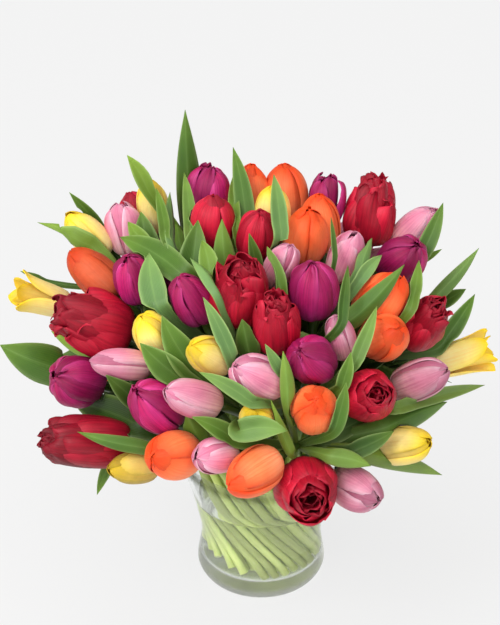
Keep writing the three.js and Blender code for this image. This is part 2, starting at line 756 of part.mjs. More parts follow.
// ---------------------------------------------------------------- the whole

const plant = (colour) => new THREE.MeshStandardMaterial({ color: colour, roughness: 0.55 });
const clear = (colour, roughness, opacity) =>
  new THREE.MeshStandardMaterial({ color: colour, roughness, transparent: true, opacity });
const glass = clear(0xe6efe9, 0.05, 0.3);
const clearWater = clear(0xd9e6d4, 0.02, 0.35);

const root = new THREE.Group();

function add(name, geometry, material) {
  const mesh = new THREE.Mesh(geometry, material);
  mesh.name = name;
  root.add(mesh);
}

const heads = settleHeads([...seenHeads(), ...backHeads()]);
const stems = stemLines(heads);

add("vase", vaseGeometry(), glass);
add("water", geometryOf(waterSolid(stems)), clearWater);
add("leafy_stems", geometryOf(greenery(stems, heads)), plant(COLOURS.green));

// Heads that share a partner's name are joined in one node; the rest are numbered within their colour.
const nodes = new Map();
const numbers = {};
heads.forEach((head, i) => {
  const solid = headSolid(head, i);
  const number = head.partner ? 0 : (numbers[head.colour] = (numbers[head.colour] ?? 0) + 1);
  const name = head.partner ?? `${head.colour}_tulip_${String(number).padStart(2, "0")}`;
  const before = nodes.get(name);
  nodes.set(name, { colour: head.colour, solid: before ? before.solid.add(solid) : solid });
});
for (const [name, { colour, solid }] of nodes) add(name, geometryOf(solid), plant(COLOURS[colour]));

export default root;
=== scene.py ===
"""A full bunch of mixed tulips in a clear glass vase of water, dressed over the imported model.

Lengths are worked out in millimetres, as in the model's source, and become metres in the meshes.
The origin is the centre of the vase's foot, +Z is up, and the seen side is towards -Y.
"""
from math import cos, pi, radians, sin
from types import SimpleNamespace

import bpy
import numpy as np
from mathutils import Matrix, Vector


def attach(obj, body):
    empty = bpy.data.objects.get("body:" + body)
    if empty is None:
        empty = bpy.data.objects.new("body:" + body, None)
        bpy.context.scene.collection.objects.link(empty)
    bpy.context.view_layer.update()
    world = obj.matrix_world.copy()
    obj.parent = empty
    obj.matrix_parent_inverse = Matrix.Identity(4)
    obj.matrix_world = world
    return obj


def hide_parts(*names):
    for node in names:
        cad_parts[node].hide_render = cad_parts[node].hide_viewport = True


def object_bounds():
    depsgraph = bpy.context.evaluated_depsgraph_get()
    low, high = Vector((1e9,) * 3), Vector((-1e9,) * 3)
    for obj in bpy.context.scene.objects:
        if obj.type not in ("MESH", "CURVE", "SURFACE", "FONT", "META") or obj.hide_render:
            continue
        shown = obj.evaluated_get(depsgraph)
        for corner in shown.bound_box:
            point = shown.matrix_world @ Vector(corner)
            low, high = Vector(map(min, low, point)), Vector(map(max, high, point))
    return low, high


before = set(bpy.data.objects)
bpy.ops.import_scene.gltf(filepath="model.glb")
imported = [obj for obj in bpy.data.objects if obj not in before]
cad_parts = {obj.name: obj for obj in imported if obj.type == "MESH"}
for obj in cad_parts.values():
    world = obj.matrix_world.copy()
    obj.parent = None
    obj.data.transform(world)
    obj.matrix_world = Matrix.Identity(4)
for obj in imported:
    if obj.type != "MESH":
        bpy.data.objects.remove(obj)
cad_low, cad_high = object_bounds()

MM = 0.001
LOWEST, HIGHEST = np.array(cad_low) / MM, np.array(cad_high) / MM
rng = np.random.default_rng(11)
norm = np.linalg.norm


def table(text):
    """The rows of a table of names and whole numbers."""
    cells = [line.split() for line in text.strip().splitlines()]
    return [[int(cell) if cell.lstrip("-").isdigit() else cell for cell in row] for row in cells]


# ---------------- sizes shared with the model

VASE_HEIGHT, VASE_WALL, VASE_FLOOR, RIM_RADIUS = 147, 4.5, 18, 84
VASE_PROFILE = [
    (50, 0), (56.5, 1.2), (61.5, 5.5), (65.6, 12), (67.2, 18),
    (62.8, 54), (67.5, 82), (70.8, 97), (77.5, 119), (84, 147),
]
WATER_LEVEL = 97
GAP = 0.35
STEM_RADIUS, STEM_LOOK_RADIUS = 3.5, 4.3
# The room that a stem keeps from other heads.
STEM_ROOM = 8
FOOT_RADIUS, NECK_RADIUS, NECK_HEIGHT = 47, 68, 151
FOOT_TURN, HEAD_TURN = radians(88), radians(25)
FOOT_LIFT = 12
DOME_CENTRE = np.array([0.0, 0.0, 204.0])
DOME_FRONT, DOME_BACK = 208, 158

# The point of view: 500 by 625 pixels, looking down by the pitch.
PITCH, FOCAL, CENTRE_X, CENTRE_Y, DISTANCE = radians(26), 1395, 250, 312.5, 1500
VASE_BELOW, VASE_RIGHT = 272, 11.8

# Rows: colour, form, centre x, centre y, tip offset x, tip offset y, length, width, depth offset in mm,
# and the node that the head shares, if it does.
HEADS = table("""
purple single 211 192 3 -27 56 42 0
red single 212 221 1 -25 52 40 8
yellow single 150 211 -4 -26 56 30 12
red single 136 214 -6 -22 50 34 -52
pink single 124 232 -6 -27 56 34 6
yellow single 96 230 -20 -20 58 34 0
orange single 94 274 -25 -24 64 40 12
purple single 134 278 -6 -20 52 38 0
yellow open 42 298 -27 -8 60 38 0
red double 93 323 -36 -12 76 60 2
purple single 75 380 -20 -4 56 48 4
pink single 121 363 -31 -3 58 28 8
red double 87 443 -44 -2 86 50 12
yellow single 132 467 -24 2 50 30 -4
orange single 178 451 -19 2 56 44 6
pink single 215 459 -18 2 50 32 0
orange single 247 471 -24 14 58 41 6
red double 303 488 4 12 58 55 4
pink single 358 490 20 11 56 38 0
yellow single 404 445 27 -3 58 34 0
pink single 421 379 27 -11 60 36 4
yellow open 459 358 34 -9 70 39 -4
red double 421 320 13 -15 58 48 4
orange single 386 341 13 -7 56 43 6 orange_pair_b
orange single 384 295 18 -22 60 44 0 orange_pair_b
pink single 409 225 20 -21 60 37 -12
purple single 404 259 14 -13 54 44 4
red double 362 212 6 -32 66 54 2
purple open 330 202 3 -27 56 36 -8
orange single 286 194 -2 -28 58 44 -4 orange_pair_a
orange single 258 192 0 -27 56 38 -8 orange_pair_a
yellow single 272 212 0 -27 56 34 8
orange single 322 220 -2 -28 60 38 -2 orange_pair_c
orange single 304 236 3 -25 56 42 6 orange_pair_c
red single 257 233 3 -22 50 38 6
pink single 281 264 11 -20 50 28 0
pink single 346 256 10 -24 56 32 0
purple single 313 288 0 -26 60 45 6
red double 243 291 2 -26 64 54 4 red_pair
red double 276 323 0 -27 62 42 6 red_pair
purple single 192 298 -12 -21 56 38 2
yellow single 152 335 -12 -19 56 34 4
yellow single 209 355 -18 -9 50 34 4
pink single 190 398 -27 -8 58 34 6
purple single 159 411 -20 -16 60 44 2
pink single 255 378 -24 -12 58 38 8
pink single 335 341 -5 -20 50 27 2
purple single 315 361 -12 -9 54 42 4
red double 370 396 8 -1 54 48 4
orange single 314 400 2 -8 58 42 6
yellow single 257 416 -4 -10 46 30 2
yellow single 402 283 10 -22 50 32 -34
""")


# A head deeper than this in the dome goes back along the line of sight instead.
SUNK = 10

# The far side's clusters: elevation, first and last azimuth, heads in each, colour and form of each.
BACK_ROWS = [
    (40, 10, 176, 2, ["pink single", "red double", "yellow single", "purple single"]),
    (14, -10, 190, 3, ["yellow single", "orange single", "pink single", "red double", "orange single"]),
]
BACK_LENGTH, BACK_WIDTH, BACK_SPREAD = 56, 43, 40

# Rows: tip x, tip y, root x, root y, width and bow in pixels, roll in degrees, and the depths of the
# tip and the root in mm.
LEAVES = table("""
185 108 194 238 27 -3 0 0 -26
127 155 148 190 16 3 0 -20 -60
69 192 98 224 12 0 0 -20 -40
37 222 122 298 20 38 0 8 -14
120 237 182 274 30 8 0 20 16
198 220 190 286 32 0 0 26 18
222 219 228 280 23 -3 0 30 22
233 147 247 234 20 5 0 -2 -12
149 253 158 308 28 -5 0 26 18
190 258 218 294 14 4 30 28 20
274 176 281 238 17 2 0 30 24
443 203 419 260 18 3 0 22 14
479 248 430 302 14 3 0 0 -10
466 289 440 304 15 0 0 -6 -14
475 294 438 348 18 3 0 -10 -18
403 266 342 328 22 5 0 30 14
419 260 410 310 14 3 0 28 14
267 246 281 292 17 2 0 32 22
0 345 66 370 40 -5 0 0 -12
162 316 198 374 32 -6 0 16 -6
140 343 182 380 30 -3 0 24 10
242 319 250 356 24 0 0 20 -4
71 400 138 424 36 3 0 -6 -16
106 375 140 404 22 0 0 18 6
78 432 152 448 16 -5 0 30 18
97 495 116 452 12 3 0 -6 -6
192 417 236 440 20 4 0 12 -4
337 341 298 340 20 14 0 12 -4
377 306 354 364 15 2 0 30 16
346 383 334 430 17 3 0 30 14
271 400 292 454 12 -3 0 14 0
287 431 240 431 26 -7 0 30 13
485 385 394 408 16 -3 0 0 4
447 402 384 428 26 -2 0 -4 -4
377 410 318 440 22 3 0 4 -10
394 431 350 452 19 3 0 14 0
442 475 356 452 21 -4 0 -2 0
""")
# The smaller leaves between the flowers.
LEAVES += table("""
202 240 210 276 20 3 0 30 20
184 172 191 242 14 3 0 22 12
170 192 172 244 14 0 40 22 14
156 188 166 240 12 3 0 24 18
233 176 236 226 12 -2 0 16 4
20 271 46 282 10 0 30 -10 -20
249 233 258 270 14 0 30 28 18
331 217 334 258 10 0 50 28 18
372 238 360 270 13 -2 0 24 14
382 255 360 280 14 -3 0 24 12
348 265 341 324 13 0 35 30 16
51 331 86 354 12 0 0 -14 -20
203 297 232 358 17 3 0 30 20
199 372 252 402 16 4 0 30 18
283 351 288 404 15 2 0 30 16
265 344 281 372 12 0 0 34 18
351 352 341 388 15 2 0 26 14
371 466 330 456 19 -3 0 22 10
128 222 150 252 18 0 0 2 -6
141 212 150 262 26 0 0 -26 -36
176 222 184 268 20 0 0 -10 -20
122 250 134 268 14 0 0 -16 -24
442 249 420 262 7 0 0 -4 -8
184 408 202 446 24 0 0 -12 -26
""")

# Far leaves: elevations of root and tip, azimuths, count, and reach past the dome.
BACK_LEAF_ROWS = [(26, 58, 40, 140, 3, 34), (0, 32, 14, 166, 5, 40), (-8, 4, 0, 180, 4, 34)]
BACK_LEAF_WIDTH, BACK_LEAF_ROOT, BACK_LEAF_FOLD = 34, -14, 0.34

# ---------------- looks of single flowers and leaves

# How far the stems bow out below the neck, as a share of their distance from the axis.
STEM_BOW = 0.16
# Leaves that stay behind the flowers near them, and how much darker some leaves are painted, as shade on
# leaves that lie in shade.
BACK_LEAVES = (1, 2)
LEAF_PAINTED_SHADE = {
    18: -0.4, 19: -0.3, 20: -0.5, 21: -0.4, 22: -1.4, 23: -0.8, 26: -0.6, 34: -0.8, 35: -0.8, 36: -0.3,
}
# Wide open tulips, and the turn of each about its axis.
OPEN_TURNS = {8: 0, 21: 40}
# How much darker or lighter than its colour a head is: partly each head's own tone, and partly painted
# shade on heads that lie in shade, such as the one on its side.
HEAD_TONE_AND_SHADE = {
    3: -0.4, 6: -0.7, 9: -0.35, 10: -0.7, 11: -0.4, 12: -1.0, 13: -0.9, 18: -0.6, 19: -0.25, 20: -0.5,
    21: 0.6, 24: 0.8, 26: -0.5, 28: -0.4, 33: 0.6, 42: -0.2, 44: 0.2,
}
# How much of its depths' colour a head shows on its outside, and with it a little of the painted shade of
# the depths.
VIVID_HEADS = {6: 0.7, 13: 0.5, 14: 0.15, 24: 0.4, 33: 0.25, 50: 0.3}
# Single tulips with narrow, lobed petals like the purple ones, and some that have begun to part.
LOBED_HEADS = (34,)
PARTING_HEADS = {
    0: 0.26, 4: 0.36, 2: 0.2, 10: 0.16, 44: 0.14, 36: 0.16, 25: 0.1, 35: 0.14, 26: 0.2, 7: 0.14,
}
# Double tulips with a hollow, one that lies on its side, and how loose some are.
CUPPED_HEADS = (17, 48)
LYING_HEAD = 12
LOOSE_HEADS = {9: 0.12, 17: 0.12, 27: 0.03}


# ---------------- small helpers


def unit(v):
    return v / norm(v, axis=-1, keepdims=True)


def turned(v, axis, angle):
    """A vector turned about a unit axis."""
    return v * cos(angle) + np.cross(axis, v) * sin(angle) + axis * np.dot(axis, v) * (1 - cos(angle))


def walk(line):
    """How far along a line of points each of them is."""
    return np.concatenate([[0], np.cumsum(norm(np.diff(line, axis=0), axis=1))])


def hermite(t, h, first, last, first_slope, last_slope):
    """The smooth curve between two values, at the share t of a step h."""
    return (
        (2 * t**3 - 3 * t**2 + 1) * first
        + (t**3 - 2 * t**2 + t) * h * first_slope
        + (3 * t**2 - 2 * t**3) * last
        + (t**3 - t**2) * h * last_slope
    )


def smooth_through(points, count):
    """A smooth curve through points, sampled evenly by count."""
    p = np.asarray(points, float)
    steps = norm(np.diff(p, axis=0), axis=1) ** 0.5
    knots = np.concatenate([[0], np.cumsum(np.maximum(steps, 1e-6))])
    slopes = np.gradient(p, knots, axis=0)
    walked = walk(p)
    at = np.interp(np.linspace(0, walked[-1], count), walked, knots)
    k = np.clip(np.searchsorted(knots, at, side="right") - 1, 0, len(p) - 2)
    h = (knots[k + 1] - knots[k])[:, None]
    return hermite((at - knots[k])[:, None] / h, h, p[k], p[k + 1], slopes[k], slopes[k + 1])


def curve_at(pairs, t):
    """A smooth value at t from pairs of (place, value)."""
    places, values = np.array(pairs, float).T
    slopes = np.gradient(values, places)
    t = np.clip(t, places[0], places[-1])
    k = np.clip(np.searchsorted(places, t, side="right") - 1, 0, len(places) - 2)
    h = places[k + 1] - places[k]
    return hermite((t - places[k]) / h, h, values[k], values[k + 1], slopes[k], slopes[k + 1])


# ---------------- the point of view

sight = np.array([0, cos(PITCH), -sin(PITCH)])
upward = np.array([0, sin(PITCH), cos(PITCH)])
rightward = np.array([1.0, 0, 0])
eye = -VASE_RIGHT * rightward + VASE_BELOW * upward - DISTANCE * sight


def ray_through(x, y):
    return unit(FOCAL * sight + (x - CENTRE_X) * rightward + (CENTRE_Y - y) * upward)


def meet_dome(ray, depth, reach_behind):
    semi = np.array([DOME_FRONT + depth, reach_behind + depth, DOME_FRONT + depth])
    start, along = (eye - DOME_CENTRE) / semi, ray / semi
    a, b = along @ along, start @ along
    return eye + ray * ((-b - max(0, b * b - a * (start @ start - 1)) ** 0.5) / a)


def on_dome(x, y, depth):
    """The point of the dome, raised by depth, seen at a pixel."""
    ray = ray_through(x, y)
    front = meet_dome(ray, depth, DOME_FRONT)
    return front if front[1] < 0 else meet_dome(ray, depth, DOME_BACK)


def pixels_per_mm(point):
    return FOCAL / ((point - eye) @ sight)


def seen_at(point):
    """The pixel at which a point is seen."""
    ray = point - eye
    scale = FOCAL / (ray @ sight)
    return np.array([CENTRE_X + scale * (ray @ rightward), CENTRE_Y - scale * (ray @ upward)])


def behind(azimuth, elevation, out):
    """A point of the dome's far side, some way out from it."""
    flat = (DOME_BACK + out) * cos(radians(elevation))
    rise = (DOME_FRONT + out) * sin(radians(elevation))
    return np.array([flat * cos(azimuth), flat * sin(azimuth), rise]) + DOME_CENTRE


# ---------------- where the heads go

# The balls that a head and the top of its stem fill: place along the length, share of the radius.
BALLS = {
    "single": np.array([(-0.66, 0.3), (-0.22, 0.9), (0.04, 1), (0.3, 0.72)]),
    "open": np.array([(-0.66, 0.3), (-0.24, 0.8), (0.02, 1), (0.28, 0.95)]),
    "double": np.array([(-0.66, 0.25), (-0.24, 0.82), (0.02, 1.02), (0.24, 0.98)]),
}
# Heads of one node sink into each other by the first, and others stay apart by the second.
JOINED_OVERLAP, FREE_OVERLAP = 7.0, -1.2
SETTLE_ROUNDS, SETTLE_PUSH, SETTLE_REACH = 160, 0.3, 100
# The share of a move that a head may make across the line of sight, seen and on the far side.
SEEN_ASIDE, FAR_ASIDE = 0.45, 1.0


def seen_heads():
    heads = []
    for colour, form, x, y, tip_x, tip_y, length, width, depth, *partner in HEADS:
        centre = on_dome(x, y, max(depth, -SUNK)) + ray_through(x, y) * 1.5 * max(0, -SUNK - depth)
        across = (tip_x * rightward - tip_y * upward) / pixels_per_mm(centre)
        towards = max(0, (length / 2) ** 2 - across @ across) ** 0.5
        axis = unit(across - unit(centre - eye) * towards)
        head = dict(colour=colour, form=form, centre=centre, axis=axis, length=length, width=width)
        heads.append(SimpleNamespace(**head, partner=partner[0] if partner else None, far=False))
    return heads


def back_heads():
    heads = []
    for row, (elevation, first, last, each, clusters) in enumerate(BACK_ROWS):
        for k, kind in enumerate(clusters):
            colour, form = kind.split(" ")
            partner = f"{colour}_cluster_{row + 1}{'abcde'[k]}"
            middle = radians(first + (k + 0.5) * (last - first) / len(clusters))
            for n in range(each):
                aside = (n - (each - 1) / 2) * BACK_SPREAD / DOME_BACK / cos(radians(elevation))
                centre = behind(middle + aside, elevation + (5 if n % 2 else -5), 0)
                axis = unit(centre - [0, 0, VASE_HEIGHT])
                head = dict(colour=colour, form=form, centre=centre, axis=axis)
                size = dict(length=BACK_LENGTH, width=BACK_WIDTH)
                heads.append(SimpleNamespace(**head, **size, partner=partner, far=True))
    return heads


def settle(heads):
    """Moves overlapping heads apart, mostly along the line of sight."""
    count = len(heads)
    centres = np.array([h.centre for h in heads])
    axes = np.array([h.axis for h in heads])
    share = np.array([FAR_ASIDE if h.far else SEEN_ASIDE for h in heads])[:, None]
    places = np.array([BALLS[h.form][:, 0] * h.length for h in heads])
    radii = np.array([BALLS[h.form][:, 1] * h.width / 2 for h in heads])
    fused = np.array([[bool(a.partner) and a.partner == b.partner for b in heads] for a in heads])
    wanted = np.where(fused, JOINED_OVERLAP, FREE_OVERLAP)
    first, second = np.triu_indices(count, 1)
    rows = np.arange(len(first))
    for _ in range(SETTLE_ROUNDS):
        balls = centres[:, None] + axes[:, None] * places[..., None]
        apart = balls[first][:, :, None] - balls[second][:, None]
        depth = radii[first][:, :, None] + radii[second][:, None] - norm(apart, axis=-1)
        flat = depth.reshape(len(first), -1)
        best = flat.argmax(axis=1)
        deepest = flat[rows, best]
        direction = unit(apart.reshape(len(first), -1, 3)[rows, best])
        near = norm(centres[first] - centres[second], axis=1) <= SETTLE_REACH
        wish, join = wanted[first, second], fused[first, second]
        pressed = near & (join | (deepest >= wish))
        push = direction * ((deepest - wish) * SETTLE_PUSH * pressed)[:, None]
        moves = np.zeros_like(centres)
        np.add.at(moves, first, push)
        np.subtract.at(moves, second, push)
        rays = unit(centres - eye)
        centres += rays * (moves * rays).sum(1, keepdims=True) * (1 - share) + moves * share
    for i, head in enumerate(heads):
        head.index, head.centre = i, centres[i]
        head.base = centres[i] - axes[i] * head.length / 2
        head.balls = centres[i] + axes[i] * places[i][:, None]
        head.radii = radii[i]


# ---------------- the bunch of stems

BUNDLE_SPACING, BUNDLE_ROUNDS, BUNDLE_PUSH = 1.86, 200, 0.4
# How far a stem keeps on as it leaves the neck and as it meets its flower, as shares of the way.
NECK_LEAD, FLOWER_LEAD = 0.4, 0.33
BEND_PLACES = (0.4, 0.78)


def bundle_places(heads):
    """A place in the unit disc for each stem, evenly packed, below its own flower."""
    base = np.array([h.base for h in heads])
    steepness = np.hypot(base[:, 0], base[:, 1]) / (base[:, 2] - NECK_HEIGHT)
    count = len(heads)
    xs, ys = [0.0] * count, [0.0] * count
    for rank, i in enumerate(np.argsort(steepness, kind="stable")):
        radius = ((rank + 0.5) / count) ** 0.5
        azimuth = np.arctan2(base[i, 1], base[i, 0]) + HEAD_TURN
        xs[i], ys[i] = radius * cos(azimuth), radius * sin(azimuth)
    spacing = BUNDLE_SPACING / count**0.5
    for _ in range(BUNDLE_ROUNDS):
        for i in range(count):
            for j in range(i + 1, count):
                dx, dy = xs[i] - xs[j], ys[i] - ys[j]
                gap = (dx * dx + dy * dy) ** 0.5
                if gap >= spacing or gap == 0:
                    continue
                push = (spacing - gap) / gap * BUNDLE_PUSH
                xs[i] += dx * push
                ys[i] += dy * push
                xs[j] -= dx * push
                ys[j] -= dy * push
        for i in range(count):
            radius = (xs[i] ** 2 + ys[i] ** 2) ** 0.5
            if radius > 1:
                xs[i] /= radius
                ys[i] /= radius
    return np.column_stack([xs, ys])


def keep_clear(point, distance, heads, own):
    """Presses a point out to a distance from every head but one."""
    point = np.array(point, float)
    centres, lengths = np.array([h.centre for h in heads]), np.array([h.length for h in heads])
    for i in np.flatnonzero(norm(centres - point, axis=1) <= lengths + distance):
        if heads[i] is own:
            continue
        for ball, radius in zip(heads[i].balls, heads[i].radii):
            away = point - ball
            length = (away @ away) ** 0.5
            if radius + distance > length:
                point = point + away / length * (radius + distance - length)
    return point


def stem_lines(heads):
    """Each stem's foot, neck, two bends and top."""
    lines = []
    for (x, y), head in zip(bundle_places(heads), heads):
        foot_x = FOOT_RADIUS * (x * cos(FOOT_TURN) - y * sin(FOOT_TURN))
        foot_y = FOOT_RADIUS * (x * sin(FOOT_TURN) + y * cos(FOOT_TURN))
        lift = FOOT_LIFT * max(0, -foot_x / FOOT_RADIUS)
        foot = np.array([foot_x, foot_y, VASE_FLOOR + GAP + STEM_RADIUS * 0.7 + lift])
        neck = np.array([NECK_RADIUS * x, NECK_RADIUS * y, NECK_HEIGHT])
        reach = norm(neck - head.base)
        after = neck + unit(neck - foot) * reach * NECK_LEAD
        before = head.base - head.axis * reach * FLOWER_LEAD
        points = [neck]
        for t in BEND_PLACES:
            weights = [(1 - t) ** 3, 3 * t * (1 - t) ** 2, 3 * t * t * (1 - t), t**3]
            points.append(sum(w * p for w, p in zip(weights, [neck, after, before, head.base])))
        points.append(head.base)
        for _ in range(12):
            for s in range(3):
                for t in (0.2, 0.45, 0.7, 0.9):
                    point = points[s] * (1 - t) + points[s + 1] * t
                    shift = keep_clear(point, STEM_ROOM, heads, head) - point
                    if s > 0:
                        points[s] = points[s] + shift * (1 - t)
                    if s < 2:
                        points[s + 1] = points[s + 1] + shift * t
        lines.append([foot, neck, points[1], points[2], head.base - head.axis * GAP])
    return lines


# ---------------- meshes


class Builder:
    """Gathers sheets and tubes of quads, with a map across and along each and a shade of its own."""

    def __init__(self):
        self.points, self.faces, self.uvs, self.shades, self.inner, self.flat = [], [], [], [], [], []
        self.count = 0

    def add(self, points, uv, shade, inner):
        self.points.append(points)
        self.uvs.append(uv)
        self.shades.append(np.full(len(points), shade))
        self.inner.append(np.full(len(points), inner))
        self.count += len(points)

    def cover(self, quads, flat=False):
        self.faces.append(quads)
        self.flat.append(np.full(len(quads), flat))

    def grid(self, points, shade, inner=0.0, across=None, reverse=False):
        """A grid of points, rows by columns, and a closed tube where the map across it is given."""
        rows, columns = points.shape[:2]
        index = np.arange(rows * columns).reshape(rows, columns) + self.count
        after = index[:, 1:] if across is None else np.roll(index, -1, axis=1)
        here = index[:, :-1] if across is None else index
        quads = np.stack([here[:-1], after[:-1], after[1:], here[1:]], axis=-1).reshape(-1, 4)
        self.cover(quads[:, ::-1] if reverse else quads)
        across = np.linspace(0, 1, columns) if across is None else across
        v, u = np.meshgrid(np.linspace(0, 1, rows), across, indexing="ij")
        self.add(points.reshape(-1, 3), np.stack([u, v], axis=-1).reshape(-1, 2), shade, inner)
        return index

    def sheet(self, points, thickness, shade, inner=0.0):
        """A thin solid sheet on a grid of points, thickness given for each of them."""
        normal = np.cross(np.gradient(points, axis=1), np.gradient(points, axis=0))
        normal /= np.maximum(norm(normal, axis=-1, keepdims=True), 1e-9)
        half = np.broadcast_to(np.asarray(thickness)[..., None], points.shape) / 2
        front = self.grid(points + normal * half, shade, inner)
        back = self.grid(points - normal * half, shade, inner, reverse=True)
        a, b = (np.concatenate([g[0, :-1], g[:-1, -1], g[-1, :0:-1], g[:0:-1, 0]]) for g in (front, back))
        self.cover(np.stack([np.roll(a, -1), a, b, np.roll(b, -1)], axis=-1))

    def tube(self, line, radii, sides, shade, cut=0.0):
        """A closed round tube along a line, its first end cut at a slant."""
        along = unit(np.gradient(line, axis=0))
        first = unit(np.cross(np.array([0.9, 0.3, 0.1]), along))
        second = np.cross(along, first)
        angle = np.linspace(0, 2 * pi, sides, endpoint=False)
        ring = first[:, None] * np.cos(angle)[:, None] + second[:, None] * np.sin(angle)[:, None]
        points = line[:, None] + ring * np.asarray(radii)[:, None, None]
        points[0] += along[0] * (np.cos(angle) * cut)[:, None]
        index = self.grid(points, shade, across=angle / (2 * pi))
        for end, v in ((0, 0.0), (-1, 1.0)):
            self.add(points[end].mean(axis=0)[None], np.array([[0.5, v]]), shade, 1.0)
            middle = np.full(sides // 2, self.count - 1)
            even, odd, after = index[end, ::2], index[end, 1::2], np.roll(index[end], -2)[::2]
            cap = np.stack([middle, even, odd, after], axis=-1)
            self.cover(cap if end else cap[:, ::-1], flat=True)

    def build(self, name, material, node, slot):
        points = np.clip(np.concatenate(self.points), LOWEST, HIGHEST)
        faces = np.concatenate(self.faces)
        mesh = bpy.data.meshes.new(name)
        mesh.vertices.add(len(points))
        mesh.vertices.foreach_set("co", (points * MM).astype(np.float32).ravel())
        mesh.loops.add(faces.size)
        mesh.loops.foreach_set("vertex_index", faces.astype(np.int32).ravel())
        mesh.polygons.add(len(faces))
        mesh.polygons.foreach_set("loop_start", np.arange(0, faces.size, 4, dtype=np.int32))
        mesh.polygons.foreach_set("use_smooth", ~np.concatenate(self.flat))
        mesh.update(calc_edges=True)
        layer = mesh.uv_layers.new(name="across_along")
        uvs = np.concatenate(self.uvs)[faces.ravel()]
        layer.data.foreach_set("uv", uvs.astype(np.float32).ravel())
        for label, values in (("shade", self.shades), ("inner", self.inner)):
            attribute = mesh.attributes.new(label, "FLOAT", "POINT")
            attribute.data.foreach_set("value", np.concatenate(values).astype(np.float32))
        mesh.validate()
        place(bpy.data.objects.new(name, mesh), material, node, slot)


def place(piece, material, node, slot):
    """Links a piece, gives it its material and lets it stand for its node of the model."""
    bpy.context.scene.collection.objects.link(piece)
    piece.data.materials.append(material)
    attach(piece, "root")
    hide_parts(node)
    return piece


# ---------------- petals

# A petal's middle line and width: place along it, then the share of the radius, length or radius.
PLACES = (0, 0.07, 0.18, 0.34, 0.5, 0.66, 0.8, 0.92, 1)
CLOSED_RADIUS = [*zip(PLACES, (0.13, 0.46, 0.8, 0.98, 1, 0.92, 0.72, 0.4, 0.1))]
CLOSED_HEIGHT = [*zip(PLACES, (0, 0.02, 0.11, 0.3, 0.49, 0.68, 0.84, 0.95, 1))]
OPEN_RADIUS = [*zip(PLACES, (0.13, 0.42, 0.68, 0.82, 0.88, 0.94, 1.02, 1.12, 1.2))]
DOUBLE_PLACES = (0, 0.08, 0.2, 0.4, 0.6, 0.78, 0.92, 1)
DOUBLE_RADIUS = [*zip(DOUBLE_PLACES, (0.13, 0.48, 0.82, 1, 0.98, 0.86, 0.68, 0.56))]
RISE_PLACES = (0, 0.08, 0.2, 0.4, 0.62, 0.8, 0.92, 1)
DOUBLE_HEIGHT = [*zip(RISE_PLACES, (0, 0.03, 0.13, 0.35, 0.6, 0.81, 0.94, 1))]
ROUND_PLACES = (0, 0.08, 0.2, 0.4, 0.6, 0.78, 0.88, 0.95, 1)
ROUND_RADIUS = [*zip(ROUND_PLACES, (0.13, 0.48, 0.82, 1, 1.02, 0.97, 0.84, 0.66, 0.46))]
ROUND_HEIGHT = [*zip(ROUND_PLACES, (0, 0.03, 0.14, 0.38, 0.64, 0.85, 0.94, 0.98, 1))]
POINTED_PLACES = (0, 0.08, 0.2, 0.36, 0.55, 0.7, 0.83, 0.93, 1)
POINTED_WIDTH = [*zip(POINTED_PLACES, (0.16, 0.52, 0.86, 1.04, 1.04, 0.88, 0.61, 0.3, 0.03))]
BLUNT_PLACES = (0, 0.1, 0.25, 0.45, 0.65, 0.82, 0.93, 0.98, 1)
BLUNT_WIDTH = [*zip(BLUNT_PLACES, (0.16, 0.5, 0.8, 0.98, 1.04, 0.99, 0.8, 0.56, 0.34))]
OUTLINES = {
    "closed": (CLOSED_RADIUS, CLOSED_HEIGHT),
    "open": (OPEN_RADIUS, CLOSED_HEIGHT),
    "double": (DOUBLE_RADIUS, DOUBLE_HEIGHT),
    "round": (ROUND_RADIUS, ROUND_HEIGHT),
}
# A petal's thickness along its middle, and how much of that is lost at its margin.
PETAL_THICKNESS, PETAL_THINNING = 0.95, 0.55
GROOVE_DEPTH, GROOVE_WIDTH = 0.03, 0.13


